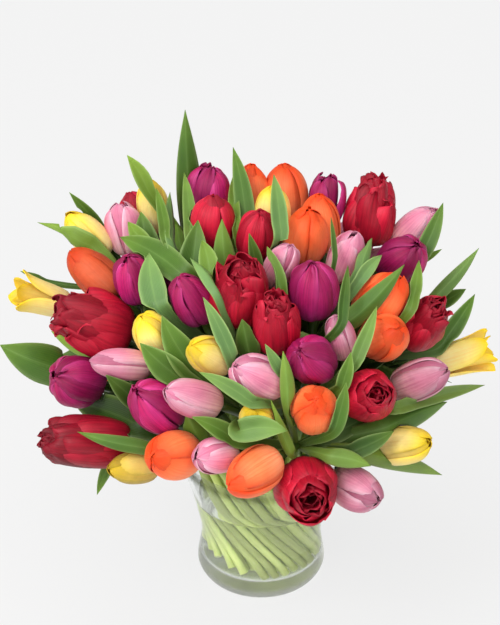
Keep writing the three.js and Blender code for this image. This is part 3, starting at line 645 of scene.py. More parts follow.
def petal(
    turn, radius, length, random, scale, opening, wide, blunt, wave, crumple, cup, form,
    billow=0.0, columns=11, rows=18,
):
    """A petal about the head's axis, as a grid of points in the head's own frame.

    scale is its distance from the axis, opening how far its tip leans out, wave how its margin ripples,
    crumple how soft its folds are, cup how round it is across, billow how it swells in and out near its
    end, and form the outline of a closed, open, double or round-ended flower."""
    v = 1 - (1 - np.linspace(0, 1, rows)) ** 1.2
    u = np.linspace(-1, 1, columns)
    outline, rises = OUTLINES[form]
    mid = radius * (scale * curve_at(outline, v) + opening * v**1.7)
    height = length * (curve_at(rises, v) - 0.16 * max(0, opening) * v**2.4)
    width = curve_at(POINTED_WIDTH, v) * (1 - blunt) + curve_at(BLUNT_WIDTH, v) * blunt
    half = radius * wide * width
    bend = np.maximum(np.abs(mid) * cup, radius * (0.3 + 0.35 * max(0, opening)))
    angle = np.clip(u[None] * (half / bend)[:, None], -2.2, 2.2)
    out = mid[:, None] - bend[:, None] * (1 - np.cos(angle))
    side = bend[:, None] * np.sin(angle)
    up = np.broadcast_to(height[:, None], out.shape).copy()
    across, rise, stature = u[None], v[:, None], min(length, 2 * radius)
    # A shallow groove along the middle.
    out -= radius * GROOVE_DEPTH * np.exp(-((across / GROOVE_WIDTH) ** 2)) * np.sin(pi * rise) ** 0.7
    # A margin that ripples and turns out.
    phase = random.uniform(0, 2 * pi, 4)
    margin = np.abs(across) ** 2.2
    ripple = np.sin(9 * rise + phase[0] + 1.5 * np.sign(across)) + 0.3 * np.sin(13 * rise + phase[1])
    out += radius * margin * (wave * ripple * np.minimum(1, rise * 2) + 0.045 * rise)
    up += stature * wave * 0.35 * np.sin(5 * across + phase[2]) * rise**3
    # Soft crumples, and the swell in and out near the end.
    folds = np.sin(3.1 * across + 4 * rise + phase[3]) + 0.7 * np.sin(6.3 * across - 7 * rise + phase[0])
    out += radius * crumple * folds * rise**1.3
    out += radius * billow * np.sin(3.6 * across + phase[1]) * np.sin(2.6 * rise + 0.4 * phase[2]) * rise
    up += stature * billow * 0.3 * np.sin(2.7 * across + phase[0]) * rise**3
    side += radius * crumple * 0.7 * np.sin(5 * rise + phase[1]) * rise
    up += length * crumple * 0.4 * np.sin(4 * across + phase[1]) * rise**2
    c, s = cos(turn), sin(turn)
    return np.stack([out * c - side * s, out * s + side * c, up], axis=-1)


def head_basis(head):
    z = head.axis
    x = unit(np.cross(np.array([0.31, 0.27, 1.0]), z))
    y = np.cross(z, x)
    c, s = cos(head.index * 0.7), sin(head.index * 0.7)
    return np.array([c * x + s * y, -s * x + c * y, z])


def add_petal(builder, head, grid, shade, inner, lean):
    """Sets a petal on its head, leaning a little from its base."""
    grid = grid.copy()
    rise = grid[..., 2] / head.length
    grid[..., 0] += lean[0] * head.width * rise**1.5
    grid[..., 1] += lean[1] * head.width * rise**1.5
    u = np.linspace(-1, 1, grid.shape[1])
    thickness = np.broadcast_to(PETAL_THICKNESS - PETAL_THINNING * np.abs(u) ** 3, grid.shape[:2])
    builder.sheet(head.base + grid @ head_basis(head), thickness, shade, inner)


def shade_of(head, random):
    # A petal's random tone, shifted by its head's own tone and painted shade.
    return random.uniform(0, 1) + HEAD_TONE_AND_SHADE.get(head.index, 0.0)


# How a single tulip of each colour is built: its whorls as (distance from the axis, width), least
# and most opening, how blunt, how rippled and crumpled its petals are, and how round across.
SINGLES = {
    "red": (((1.0, 1.0), (0.9, 1.02), (0.62, 0.9)), (0.03, 0.13), 0.5, 0.03, 0.022, 0.9),
    "orange": (((1.0, 0.94), (0.92, 1.0), (0.62, 0.9)), (-0.03, 0.05), 0.34, 0.02, 0.014, 0.88),
    "yellow": (((1.0, 0.86), (0.93, 0.96), (0.62, 0.9)), (-0.02, 0.12), 0.18, 0.018, 0.012, 0.84),
    "pink": (((1.0, 0.88), (0.92, 0.94), (0.62, 0.9)), (-0.03, 0.08), 0.06, 0.018, 0.012, 0.86),
    "purple": (((1.0, 0.66), (0.98, 0.66), (0.84, 0.72), (0.6, 0.8)), (0.0, 0.1), 0.4, 0.07, 0.036, 0.56),
}
PARTED_WHORLS = ((0.96, 0.8), (0.8, 0.84))
OPEN_WHORLS = ((1.0, 0.8), (0.62, 0.8))


def single_tulip(builder, head, random):
    kind = "purple" if head.index in LOBED_HEADS else head.colour
    whorls, (least, most), blunt, wave, crumple, cup = SINGLES[kind]
    opening = PARTING_HEADS.get(head.index, random.uniform(least, most))
    wide_open = head.index in OPEN_TURNS
    if wide_open:
        opening, blunt, whorls = 0.0, 0.1, OPEN_WHORLS
    elif head.form == "open":
        opening, blunt, whorls = 0.48, 0.15, PARTED_WHORLS
    skin = dict(blunt=blunt, wave=wave, crumple=crumple, cup=cup, form="open" if wide_open else "closed")
    for layer, (scale, wide) in enumerate(whorls):
        # The outermost petals are a little shorter than the next, and the innermost shorter again.
        share = 0.97 if layer == 0 else 1.0 - 0.05 * max(0, layer - 1)
        for k in range(3):
            turn = radians(120 * k + 60 * layer + random.uniform(-10, 10) + OPEN_TURNS.get(head.index, 0))
            spread = opening * (1 - 0.35 * layer) + random.uniform(-0.05, 0.04) - 0.05 * min(layer, 1)
            tall = head.length * share * random.uniform(0.94, 1.0)
            look = dict(scale=scale, opening=spread, wide=wide * random.uniform(0.9, 1.1), **skin)
            lean = random.uniform(-0.014, 0.014, 2)
            depth = min(1.0, 0.6 * layer + VIVID_HEADS.get(head.index, 0.0))
            shade = shade_of(head, random)
            grid = petal(turn, head.width / 2, tall, random, **look)
            add_petal(builder, head, grid, shade, depth, lean)


# A double tulip's whorls, from the outside in: petals, distance from the axis, width, height and
# opening. A cupped one holds a dark hollow, and a ruffled one is full to the middle.
CUPPED = [
    (4, 1.0, 1.12, 0.82, 0.06),
    (4, 0.92, 1.06, 0.94, 0.0),
    (4, 0.74, 0.92, 0.98, -0.1),
    (3, 0.5, 0.84, 0.92, -0.12),
    (3, 0.28, 0.6, 0.84, -0.08),
]
RUFFLED = [
    (4, 0.96, 1.02, 0.72, 0.04),
    (4, 0.95, 0.92, 0.84, 0.04),
    (5, 0.86, 0.84, 0.93, 0.0),
    (5, 0.7, 0.78, 1.0, -0.03),
    (4, 0.5, 0.72, 1.02, -0.06),
    (4, 0.3, 0.56, 0.98, -0.04),
]


def double_tulip(builder, head, random):
    cupped, lying = head.index in CUPPED_HEADS, head.index == LYING_HEAD
    loose = LOOSE_HEADS.get(head.index, 0.0)
    skin = dict(
        wave=0.05 if cupped else 0.075,
        crumple=0.04 if lying else 0.025,
        cup=0.8 if cupped else 0.7,
        form="round" if lying else "double",
        columns=13,
        rows=20,
    )
    for layer, (count, scale, wide, tall, opening) in enumerate(CUPPED if cupped else RUFFLED):
        start = random.uniform(0, 2 * pi)
        for k in range(count):
            turn = start + 2 * pi * (k + random.uniform(-0.16, 0.16)) / count
            look = dict(
                scale=scale * random.uniform(0.93, 1.0),
                opening=opening + loose + random.uniform(-0.08, 0.06 if lying else 0.14),
                wide=wide * random.uniform(0.85, 1.12) * (1.16 if lying else 1),
                blunt=random.uniform(0.7, 1.0),
                billow=random.uniform(0.06, 0.12) if cupped else random.uniform(0.14, 0.28),
            )
            length = head.length * tall * random.uniform(0.9, 1.02)
            grid = petal(turn, head.width / 2, length, random, **look, **skin)
            lean = random.uniform(-0.05, 0.05, 2)
            add_petal(builder, head, grid, shade_of(head, random), min(1.0, layer / 3), lean)


# ---------------- leaves

# How wide a leaf is from its root to its tip: place along it, then the share of its full width.
BLADE_PLACES = (0, 0.16, 0.33, 0.5, 0.7, 0.86, 0.95, 1)
BLADE = [*zip(BLADE_PLACES, (0.84, 0.97, 1, 0.9, 0.64, 0.33, 0.12, 0.015))]
# A leaf slides by up to five steps either way, and minds the heads within the reach.
SLIDE_STEP, SLIDE_REACH = 9.0, 150
SLIDES = np.array([0, 1, -1, 2, -2, 3, -3, 4, -4, 5, -5]) * SLIDE_STEP
# The room between a leaf and a head.
LEAF_MARGIN = 2.2
# A leaf's thickness along its middle, and how much of that is lost at its margin.
LEAF_THICKNESS, LEAF_THINNING = 1.3, 0.85
# The blade's width where its stalk leaves the stem, as a share of the full width.
STALK_SHARE = 0.3


def crush(roots, tips, width, heads):
    """How deep straight blades would sink into the heads, for arrays of roots and tips."""
    if not heads:
        return np.zeros(roots.shape[:-1])
    t = np.array([0, 0.25, 0.5, 0.75, 1.0])[:, None]
    points = roots[..., None, :] * (1 - t) + tips[..., None, :] * t
    balls = np.concatenate([h.balls for h in heads])
    radii = np.concatenate([h.radii for h in heads])
    distance = norm(points[..., None, :] - balls, axis=-1)
    return np.maximum(0, radii + width * 0.2 - distance).sum(axis=(-1, -2))


def slide_clear(leaf, heads):
    """Slides a leaf's root and tip forth and back, or only back, to where it passes the heads best."""
    near = [h for h in heads if norm(h.centre - leaf["root"]) < SLIDE_REACH]
    steps = SLIDES[SLIDES <= 0] if leaf.get("back") else SLIDES
    root_slide, tip_slide = np.meshgrid(steps, steps, indexing="ij")
    roots = leaf["root"] + root_slide[..., None] * leaf["facing"]
    tips = leaf["tip"] + tip_slide[..., None] * leaf["facing"]
    effort = np.hypot(root_slide, tip_slide) + np.maximum(0, root_slide)
    cost = crush(roots, tips, leaf["width"], near) + 0.12 * effort
    best = np.unravel_index(cost.argmin(), cost.shape)
    return {**leaf, "root": roots[best], "tip": tips[best]}


def leaf_origin(leaf, bends, heads):
    """The bend of a stem from which a leaf reaches its root best."""
    onward = unit(leaf["tip"] - leaf["root"])
    reach = leaf["root"] - bends
    length = norm(reach, axis=1)
    turn = 1 - (reach / length[:, None]) @ onward
    roots = np.broadcast_to(leaf["root"], bends.shape)
    return bends[(length + 45 * turn + 3 * crush(bends, roots, 10, heads)).argmin()]


def clear_of_heads(points, margin, heads, rounds=3):
    """Presses points out of the heads near them."""
    flat = points.reshape(-1, 3)
    middle = flat.mean(axis=0)
    reach = norm(flat - middle, axis=1).max()
    near = [h for h in heads if norm(h.centre - middle) < reach + h.length + margin]
    for _ in range(rounds):
        for head in near:
            for ball, radius in zip(head.balls, head.radii):
                away = flat - ball
                length = norm(away, axis=1, keepdims=True)
                flat = flat + away / np.maximum(length, 1e-6) * np.maximum(0, radius + margin - length)
    return flat.reshape(points.shape)


def add_leaf(builder, leaf, origin, heads, random, rows=24, columns=9):
    """A channelled, rippled blade along an arch, with a narrow stalk where it has an origin."""
    tip, root, width, facing = leaf["tip"], leaf["root"], leaf["width"], leaf["facing"]
    middle = (root + tip) / 2 + leaf["bow"] + facing * norm(tip - root) * 0.1
    arch = [root * (1 - t) ** 2 + middle * 2 * t * (1 - t) + tip * t * t for t in (0, 0.25, 0.5, 0.75, 1)]
    line = smooth_through(arch if origin is None else [origin, *arch], rows)
    walked = walk(line)
    before = 0 if origin is None else norm(root - origin)
    # Where each row is on the blade, from 0 at its root to 1 at its tip, and below 0 on the stalk.
    place_on = (walked - before) / max(walked[-1] - before, 1e-6)
    on_stalk = 1 + place_on * (walked[-1] - before) / max(before, 1e-6)
    on_blade = np.clip(place_on, 0, 1)
    stalk = STALK_SHARE + (BLADE[0][1] - STALK_SHARE) * on_stalk
    share = np.where(place_on < 0, stalk, curve_at(BLADE, on_blade))
    half = share * width / 2
    along = unit(np.gradient(line, axis=0))
    face = unit(facing - along * (along @ facing)[:, None])
    roll = leaf["roll"] + random.uniform(-0.12, 0.12)
    face = np.array([turned(f, a, roll) for f, a in zip(face, along)])
    across = np.cross(along, face)
    u = np.linspace(-1, 1, columns)
    fold = leaf["channel"] * (np.abs(u) ** 1.25 - 0.42)
    wave, beat = random.uniform(0.02, 0.07), random.uniform(5, 9)
    wave = wave * np.sin(beat * on_blade[:, None] + random.uniform(0, 6))
    lift = (fold[None] + wave * np.sign(u)[None] * np.abs(u[None]) ** 2) * half[:, None]
    points = line[:, None] + across[:, None] * (u[None] * half[:, None])[..., None]
    points = points + face[:, None] * lift[..., None]
    points = clear_of_heads(points, LEAF_MARGIN, heads)
    thickness = LEAF_THICKNESS - LEAF_THINNING * np.abs(u) ** 1.5
    thickness = thickness[None] * np.maximum(0.35, share)[:, None]
    # The shade value holds the leaf's random tone and any painted shade of its row.
    builder.sheet(points, thickness, random.uniform(0, 1) + leaf.get("tone", 0.0), leaf.get("inner", 0.0))


def table_leaves():
    """The leaves of the table, then those of the far side."""
    leaves = []
    folds = np.random.default_rng(5).uniform(0.3, 0.6, len(LEAVES))
    for i, (tip_x, tip_y, root_x, root_y, wide, bow, roll, tip_depth, root_depth) in enumerate(LEAVES):
        tip, root = on_dome(tip_x, tip_y, tip_depth), on_dome(root_x, root_y, root_depth)
        scale = pixels_per_mm(root)
        facing = unit(eye - root)
        aside = unit(np.cross(tip - root, facing)) * bow / scale
        leaf = dict(tip=tip, root=root, width=wide / scale, bow=aside, roll=radians(roll), facing=facing)
        leaf["channel"] = (-1 if i % 3 == 0 else 1) * folds[i]
        leaves.append({**leaf, "back": i in BACK_LEAVES, "tone": LEAF_PAINTED_SHADE.get(i, 0.0)})
    for low, high, first, last, count, reach in BACK_LEAF_ROWS:
        for k in range(count):
            azimuth = radians(first + (k + 0.5) * (last - first) / count)
            facing = unit(np.array([cos(azimuth), sin(azimuth), 0.3]))
            tip = behind(azimuth + 0.12 * sin(5 * k), high, reach)
            root = behind(azimuth, low, BACK_LEAF_ROOT)
            leaf = dict(tip=tip, root=root, width=BACK_LEAF_WIDTH, facing=facing)
            leaves.append({**leaf, "bow": 0, "roll": radians(15 * sin(7 * k)), "channel": BACK_LEAF_FOLD})
    return leaves


# The leaves in the depths: how many, how far below the dome's surface their tips are, how long and
# how wide they are, how far they lean, and how deep they may sink into the heads.
FILL_COUNT = 320
FILL_DEPTH, FILL_LENGTH, FILL_WIDTH, FILL_SKEW, FILL_CRUSH = (-44, -14), (58, 90), (17, 30), (5, 34), 26
# Seen from the front, they stay this near a flower in pixels, and above this line.
FILL_REACH, FILL_LINE = 30, 452


def behind_a_head(point, heads):
    """Whether a point is seen within the flowers, so that nothing pokes out past them."""
    pixel = seen_at(point)
    seen = np.array([seen_at(h.centre) for h in heads if not h.far])
    return pixel[1] < FILL_LINE and norm(seen - pixel, axis=1).min() < FILL_REACH


def fill_leaves(heads, random):
    """Leaves that fill the room below and between the flowers, all round."""
    leaves = []
    while len(leaves) < FILL_COUNT:
        azimuth = random.uniform(0, 2 * pi)
        rise = random.uniform(-0.2, 1)
        flat = (1 - rise**2) ** 0.5
        out = np.array([flat * cos(azimuth), flat * sin(azimuth), rise])
        semi = np.array([DOME_FRONT, DOME_BACK if out[1] > 0 else DOME_FRONT, DOME_FRONT])
        tip_depth = random.uniform(*FILL_DEPTH)
        tip = DOME_CENTRE + out * (semi + tip_depth)
        skew = unit(np.cross(out, random.normal(size=3))) * random.uniform(*FILL_SKEW)
        root = DOME_CENTRE + out * (semi + tip_depth - random.uniform(*FILL_LENGTH)) + skew
        if (tip < LOWEST + 4).any() or (tip > HIGHEST - 4).any():
            continue
        if min(root[2], tip[2] - 14) < VASE_HEIGHT + 6:
            continue
        if not behind_a_head(tip, heads) or not behind_a_head((tip + root) / 2, heads):
            continue
        # Fewer of them low down on the far side, which has leaves of its own there.
        if tip[1] > 40 and tip[2] < 205 and random.uniform() < 0.7:
            continue
        width = random.uniform(*FILL_WIDTH)
        near = [h for h in heads if norm(h.centre - tip) < 120]
        if crush(root[None], tip[None], width, near)[0] > FILL_CRUSH:
            continue
        facing = unit(unit(eye - root) * random.uniform(0, 1) + random.normal(size=3) * 0.5 + out * 0.3)
        if abs(facing @ unit(tip - root)) > 0.9:
            continue
        # inner marks these leaves for the painted shade of the depths.
        leaf = dict(tip=tip, root=root, width=width, bow=0, roll=0, facing=facing, inner=1.0)
        leaves.append({**leaf, "channel": random.choice([-1, 1]) * random.uniform(0.2, 0.45)})
    return leaves


# ---------------- materials


def linear(colour):
    """A displayed colour, as 0xrrggbb, in linear light."""
    parts = [(colour >> shift & 255) / 255 for shift in (16, 8, 0)]
    return [p / 12.92 if p <= 0.04045 else ((p + 0.055) / 1.055) ** 2.4 for p in parts] + [1.0]


class Value:
    """A number, vector or colour among nodes. Sums, products and powers of it become maths nodes."""

    def __init__(self, nodes, socket):
        self.nodes, self.socket = nodes, socket

    def clamped(self):
        """The same number, held between 0 and 1."""
        self.socket.node.use_clamp = True
        return self

    __add__ = lambda self, other: self.nodes.maths("ADD", self, other)
    __sub__ = lambda self, other: self.nodes.maths("SUBTRACT", self, other)
    __rsub__ = lambda self, other: self.nodes.maths("SUBTRACT", other, self)
    __mul__ = lambda self, other: self.nodes.maths("MULTIPLY", self, other)
    __pow__ = lambda self, other: self.nodes.maths("POWER", self, other)


class Nodes:
    """A node tree, built with short calls."""

    def __init__(self, tree):
        self.tree = tree

    def link(self, source, target):
        """Links a value to a socket, or sets the socket to a plain number, vector or colour."""
        if isinstance(source, Value):
            self.tree.links.new(source.socket, target)
        elif source is not None:
            target.default_value = source

    def node(self, kind, *inputs, out=0, **settings):
        """An output of a new node, its inputs given in order, or None for those to leave alone."""
        node = self.tree.nodes.new("ShaderNode" + kind)
        for key, value in settings.items():
            setattr(node, key, value)
        for value, socket in zip(inputs, node.inputs):
            self.link(value, socket)
        return Value(self, node.outputs[out])

    def maths(self, operation, *values):
        return self.node("Math", *values, operation=operation)

    def ramp(self, factor, *stops):
        """A colour that changes with a factor, from stops of (place, colour)."""
        value = self.node("ValToRGB", factor)
        ramp = value.socket.node.color_ramp
        ramp.interpolation = "EASE"
        for _ in stops[2:]:
            ramp.elements.new(0.5)
        for element, (position, colour) in zip(ramp.elements, stops):
            element.position, element.color = position, linear(colour)
        return value

    def mix(self, factor, *colours, blend="MIX"):
        colours = [linear(c) if isinstance(c, int) else c for c in colours]
        return self.node("Mix", factor, *[None] * 5, *colours, data_type="RGBA", blend_type=blend, out=2)

    def noise(self, place, scale=1.0, detail=3.0):
        """Noise at a place, which may be given as three values."""
        place = self.node("CombineXYZ", *place) if isinstance(place, tuple) else place
        return self.node("TexNoise", place, None, scale, detail, NOISE_ROUGHNESS)

    def split(self, vector):
        outputs = self.node("SeparateXYZ", vector).socket.node.outputs
        return [Value(self, socket) for socket in outputs]

    def position(self):
        return self.node("TexCoord", out="Object")

    def smooth(self, source, *span):
        """A value that goes smoothly from one to another, between two places on its source."""
        return self.node("MapRange", source, *span, interpolation_type="SMOOTHSTEP")


class Look(Nodes):
    """A material and its shader."""

    def __init__(self, name):
        self.material = bpy.data.materials.new(name)
        self.material.use_nodes = True
        super().__init__(self.material.node_tree)
        self.tree.nodes.clear()
        self.shader, self.output = [
            self.tree.nodes.new("ShaderNode" + kind) for kind in ("BsdfPrincipled", "OutputMaterial")
        ]
        self.tree.links.new(self.shader.outputs[0], self.output.inputs["Surface"])

    def set(self, **values):
        for key, value in values.items():
            self.link(value, self.shader.inputs[key.replace("_", " ")])

    def given(self):
        """The mesh's values: across from 0 to 1, along from root to tip, from the middle to an edge,
        the shade and the depth in the flower."""
        u, v, _ = self.split(self.node("UVMap", uv_map="across_along"))
        edge = self.maths("ABSOLUTE", u * 2.0 - 1.0)
        shades = [self.node("Attribute", attribute_name=name, out="Fac") for name in ("shade", "inner")]
        return u, v, edge, *shades

    def painted_depth_shade(self):
        """Painted shade for the leaves: how far out a point is in the dome, from dimmest in its depths to
        1 at its surface.
        """
        away = self.node("VectorMath", self.position(), DOME_CENTRE * MM, operation="SUBTRACT")
        x, y, z = self.split(away)
        # The far side is flatter, so its depth counts for more.
        y = y + self.maths("MAXIMUM", y, 0.0) * (DOME_FRONT / DOME_BACK - 1)
        size = self.node("VectorMath", self.node("CombineXYZ", x, y, z), operation="LENGTH", out="Value")
        return self.smooth(size, DEEP_SHARE * DOME_FRONT * MM, FULL_SHARE * DOME_FRONT * MM, DEPTH_SHADE_DIMMEST, 1.0)

    def bump(self, height, strength, distance):
        self.set(Normal=self.node("Bump", strength, distance, None, height))

    def tone(self, body, tone):
        """Makes a colour lighter or darker, and lays it on the surface."""
        self.set(Base_Color=self.node("HueSaturation", None, None, tone, None, body))

    def soft(self, weight, scale, radius):
        self.set(Subsurface_Weight=weight, Subsurface_Scale=scale, Subsurface_Radius=radius)


NOISE_ROUGHNESS = 0.55
# How deep in the dome the leaves' painted shade is darkest and lightest, as shares of its reach, and how
# dark it gets.
DEEP_SHARE, FULL_SHARE, DEPTH_SHADE_DIMMEST = 0.62, 0.97, 0.3
PLANT_GLOSS = 0.26
# For each colour: the petal at its root, low, middle and tip, its margin, its streaks, the colour of its
# depths, which is a deeper colour of its own for orange, yellow and pink and a dark painted shade for red
# and purple, how streaked it is, and its softness.
PETALS = {
    "red": (0x8A1420, 0xB41630, 0xC0102E, 0xB4082A, 0xEA2E4C, 0x6A0218, 0x8C0820, 0.62, 0.06),
    "orange": (0xE8B468, 0xFCA274, 0xFB8852, 0xF04A14, 0xEE3A06, 0xF05A26, 0xEC4208, 0.62, 0.12),
    "yellow": (0xE4E4A4, 0xF4DCA4, 0xF8E08C, 0xFAD628, 0xFCD40C, 0xEABE58, 0xF4C818, 0.45, 0.12),
    "pink": (0xE6DCC6, 0xE2AEA8, 0xDA849C, 0xDC8CA4, 0xEEC4D0, 0xB85078, 0xCC6C90, 0.66, 0.12),
    "purple": (0xC39AB4, 0xA62C78, 0xB81A64, 0xB01454, 0xD44490, 0x740C44, 0x700838, 0.72, 0.08),
}


def petal_material(colour):
    root, low, middle, tip, margin, streak, heart_and_shade, streaked, soft = PETALS[colour]
    n = Look(f"petal_{colour}")
    u, v, edge, shade, inner = n.given()
    seeded = shade * 37.0
    # The vivid margin wanders in and out, and is widest towards the tip.
    ragged = n.noise((u * 3.0, v * 4.0, seeded))
    vivid = (edge**1.8 * (v * 0.9 + 0.15)).clamped()
    vivid = (vivid * (ragged * 0.9 + 0.5)).clamped()
    body = n.ramp(v, (0.0, root), (0.16, low), (0.55, middle), (0.94, tip))
    body = n.mix(vivid, body, margin)
    # The inner petals take the colour of the depths: a deeper colour of their own for orange, yellow and
    # pink, and a dark painted shade for red and purple.
    body = n.mix(inner * 0.7, body, heart_and_shade)
    # Fine streaks that run along the petal, denser towards its middle.
    streaks = n.noise((u * 26.0, v * 1.6, seeded), detail=4.0)
    streaks = ((streaks - 0.4).clamped() * 3.4).clamped()
    body = n.mix(streaks * (1.0 - edge * 0.7) * streaked, body, streak)
    mottle = n.noise(n.position(), 90.0, 4.0)
    # Random tone, with the inner petals painted a little darker as shade in the flower's depths.
    n.tone(body, mottle * 0.4 + shade * 0.34 + 0.64 - inner * 0.14)
    fine = n.noise((u * 90.0, v * 3.0, seeded), detail=2.0)
    n.bump(fine + streaks * 0.8, 0.5, 0.0005)
    n.soft(soft, 0.003, (1.0, 0.45, 0.3))
    n.set(Roughness=fine * 0.2 + 0.36, Specular_IOR_Level=PLANT_GLOSS)
    return n.material


def leaf_material():
    n = Look("leaf_green")
    u, v, edge, shade, inner = n.given()
    body = n.ramp(v, (0.0, 0x84983E), (0.3, 0x5C7A2C), (0.7, 0x4E7026), (1.0, 0x7C9A34))
    blooms = (0.0, 0x34541A), (0.3, 0x4E7228), (0.6, 0x86A038), (0.8, 0x5E7C4C), (1.0, 0x6C8C5C)
    bloom = n.ramp(shade, *blooms)
    body = n.mix(0.6, body, bloom)
    # A light edge and midrib, and parallel veins.
    body = n.mix(edge**8.0 * 0.6, body, 0xA8C274)
    body = n.mix((1.0 - edge) ** 14.0 * 0.25, body, 0x8CAE5E)
    wander = n.noise((u * 30.0, v * 1.2, shade * 19.0))
    veins = n.maths("SINE", u * 120.0) * 0.25 + wander
    body = n.mix((veins * 0.35).clamped(), body, 0x28501A)
    mottle = n.noise(n.position(), 45.0, 4.0)
    # Painted shade: each leaf darker towards its root, the fill leaves in the depths darker again, and all
    # darker deeper in the dome.
    tone = mottle * 0.5 + shade * 0.32 + (v * 0.5 + 0.3) - inner * 0.3
    n.tone(body, tone * n.painted_depth_shade())
    n.bump(veins, 0.5, 0.0004)
    n.soft(0.06, 0.002, (0.5, 1.0, 0.2))
    n.set(Roughness=mottle * 0.2 + 0.3, Specular_IOR_Level=PLANT_GLOSS)
    return n.material


def stem_material():
    n = Look("stem_green")
    u, v, _, shade, inner = n.given()
    # The lower stems are pale yellow-green, made paler still as painted light for the light that the glass
    # and water hold back; higher up they are darker green.
    body = n.ramp(v, (0.0, 0xECF4A4), (0.34, 0xDCEA86), (0.5, 0x9CB850), (0.62, 0x56742A), (1.0, 0x4E6C26))
    body = n.mix(inner, body, 0xE6E6BE)
    lines = n.noise((u * 22.0, v * 4.0, shade * 23.0))
    body = n.mix(lines * 0.4, body, 0xB4D266, blend="MULTIPLY")
    n.tone(body, shade * 0.5 + 0.62)
    n.bump(lines, 0.3, 0.0003)
    n.soft(0.15, 0.004, (0.8, 1.0, 0.4))
    n.set(Roughness=lines * 0.2 + 0.28)
    return n.material


# The thin rolled rim is seen through rather than dark, and the thick foot is a little hazy: a low and
# a high place up the vase, and the solidity or roughness at each.
RIM_FADE = (0.128, 0.145, 1.0, 0.22)
FOOT_HAZE = (0.014, 0.036, 0.26, 0.0)


def clear_material(name, colour, ior, gloss, absorbed, density, **spans):
    """Clear glass or water, a faintly uneven surface over a tint that deepens with thickness."""
    n = Look(name)
    n.bump(n.noise(n.position(), 26.0, 2.0), 0.05, 0.0005)
    n.set(Base_Color=linear(colour), Transmission_Weight=1.0, Roughness=0.0)
    n.set(IOR=ior, Specular_IOR_Level=gloss)
    height = n.split(n.position())[2]
    n.set(**{name: n.smooth(height, *span) for name, span in spans.items()})
    n.link(n.node("VolumeAbsorption", linear(absorbed), density), n.output.inputs["Volume"])
    return n.material


# ---------------- vase and water

LATHE_SIDES = 96
RIM_ROUND = 2.2
# Above this height the bowl follows the outer wall, and below it is rounder than that.
BOWL_HEIGHT = 46
# The water laps a hair into the glass, so that no film of air shows between them.
WATER_LAP = 0.25


def lathe(name, profile, material, node, slot):
    """A closed solid turned about the vertical axis, from a profile that starts and ends on the axis."""
    angle = np.linspace(0, 2 * pi, LATHE_SIDES, endpoint=False)
    body = profile[1:-1]
    rings = np.array([[(r * cos(a), r * sin(a), z) for a in angle] for r, z in body])
    points = [tuple(p) for p in (rings.reshape(-1, 3) * MM)]
    points += [(0, 0, profile[0][1] * MM), (0, 0, profile[-1][1] * MM)]
    start, end = len(points) - 2, len(points) - 1
    faces = []
    for k in range(LATHE_SIDES):
        after = (k + 1) % LATHE_SIDES
        faces.append((start, after, k))
        for r in range(len(body) - 1):
            a, b = r * LATHE_SIDES, (r + 1) * LATHE_SIDES
            faces.append((a + k, a + after, b + after, b + k))
        last = (len(body) - 1) * LATHE_SIDES
        faces.append((end, last + k, last + after))
    mesh = bpy.data.meshes.new(name)
    mesh.from_pydata(points, [], faces)
    mesh.polygons.foreach_set("use_smooth", np.ones(len(faces), bool))
    mesh.update()
    piece = place(bpy.data.objects.new(name, mesh), material, node, slot)
    piece.visible_shadow = False


def outer_wall():
    return smooth_through(VASE_PROFILE, 70)


def as_points(rows):
    return [tuple(row) for row in rows]


def vase_profile():
    curve, top = outer_wall(), VASE_HEIGHT - RIM_ROUND
    foot = [(0, 0.6), (42, 0.6), (47, 0), (50, 0)]
    half = VASE_WALL / 2
    rim = [(RIM_RADIUS - half + half * cos(a), top + RIM_ROUND * sin(a)) for a in np.linspace(0, pi, 9)]
    outer = [p for p in curve if p[1] < top - 0.2]
    inner = [(r - VASE_WALL, z) for r, z in curve if BOWL_HEIGHT < z < top - 0.2][::-1]
    bowl = smooth_through([inner[-1], (57.6, 34), (54.5, 23), (48, 19), (36, VASE_FLOOR + 0.2)], 14)[1:]
    return foot + as_points(outer) + rim + inner + as_points(bowl) + [(18, VASE_FLOOR), (0, VASE_FLOOR)]


def water_profile():
    """The water, with its skin drawn up at the glass."""
    curve, inset = outer_wall(), VASE_WALL - WATER_LAP
    wall = [(r - inset, z) for r, z in curve if BOWL_HEIGHT < z < WATER_LEVEL - 1]
    bowl = [(36, VASE_FLOOR + 0.1), (48.2, 18.8), (54.8, 22.9), (57.85, 34), wall[0]]
    bowl = smooth_through(bowl, 14)[:-1]
    edge = np.interp(WATER_LEVEL, curve[:, 1], curve[:, 0]) - inset
    curl = ((0, 0.2), (0.8, 0.9), (2.2, 1.5), (5, 1.8))
    skin = [(edge - back, WATER_LEVEL - drop) for back, drop in curl]
    floor, surface = VASE_FLOOR - 0.15, WATER_LEVEL - 1.8
    return [(0, floor), (18, floor)] + as_points(bowl) + wall + skin + [(0, surface)]


# ---------------- the whole

heads = seen_heads() + back_heads()
settle(heads)
stems = stem_lines(heads)
bends = np.array([line[k] for line in stems for k in (2, 3)])

petal_looks = {colour: petal_material(colour) for colour in PETALS}
numbers = {}
builders = {}
for head in heads:
    if not head.partner:
        numbers[head.colour] = numbers.get(head.colour, 0) + 1
    node = head.partner or f"{head.colour}_tulip_{numbers[head.colour]:02d}"
    builder = builders.setdefault(node, (Builder(), head.colour))[0]
    random = np.random.default_rng(100 + head.index)
    (double_tulip if head.form == "double" else single_tulip)(builder, head, random)
for node, (builder, colour) in builders.items():
    builder.build(f"{node}_petals", petal_looks[colour], node, f"{colour}_petal")

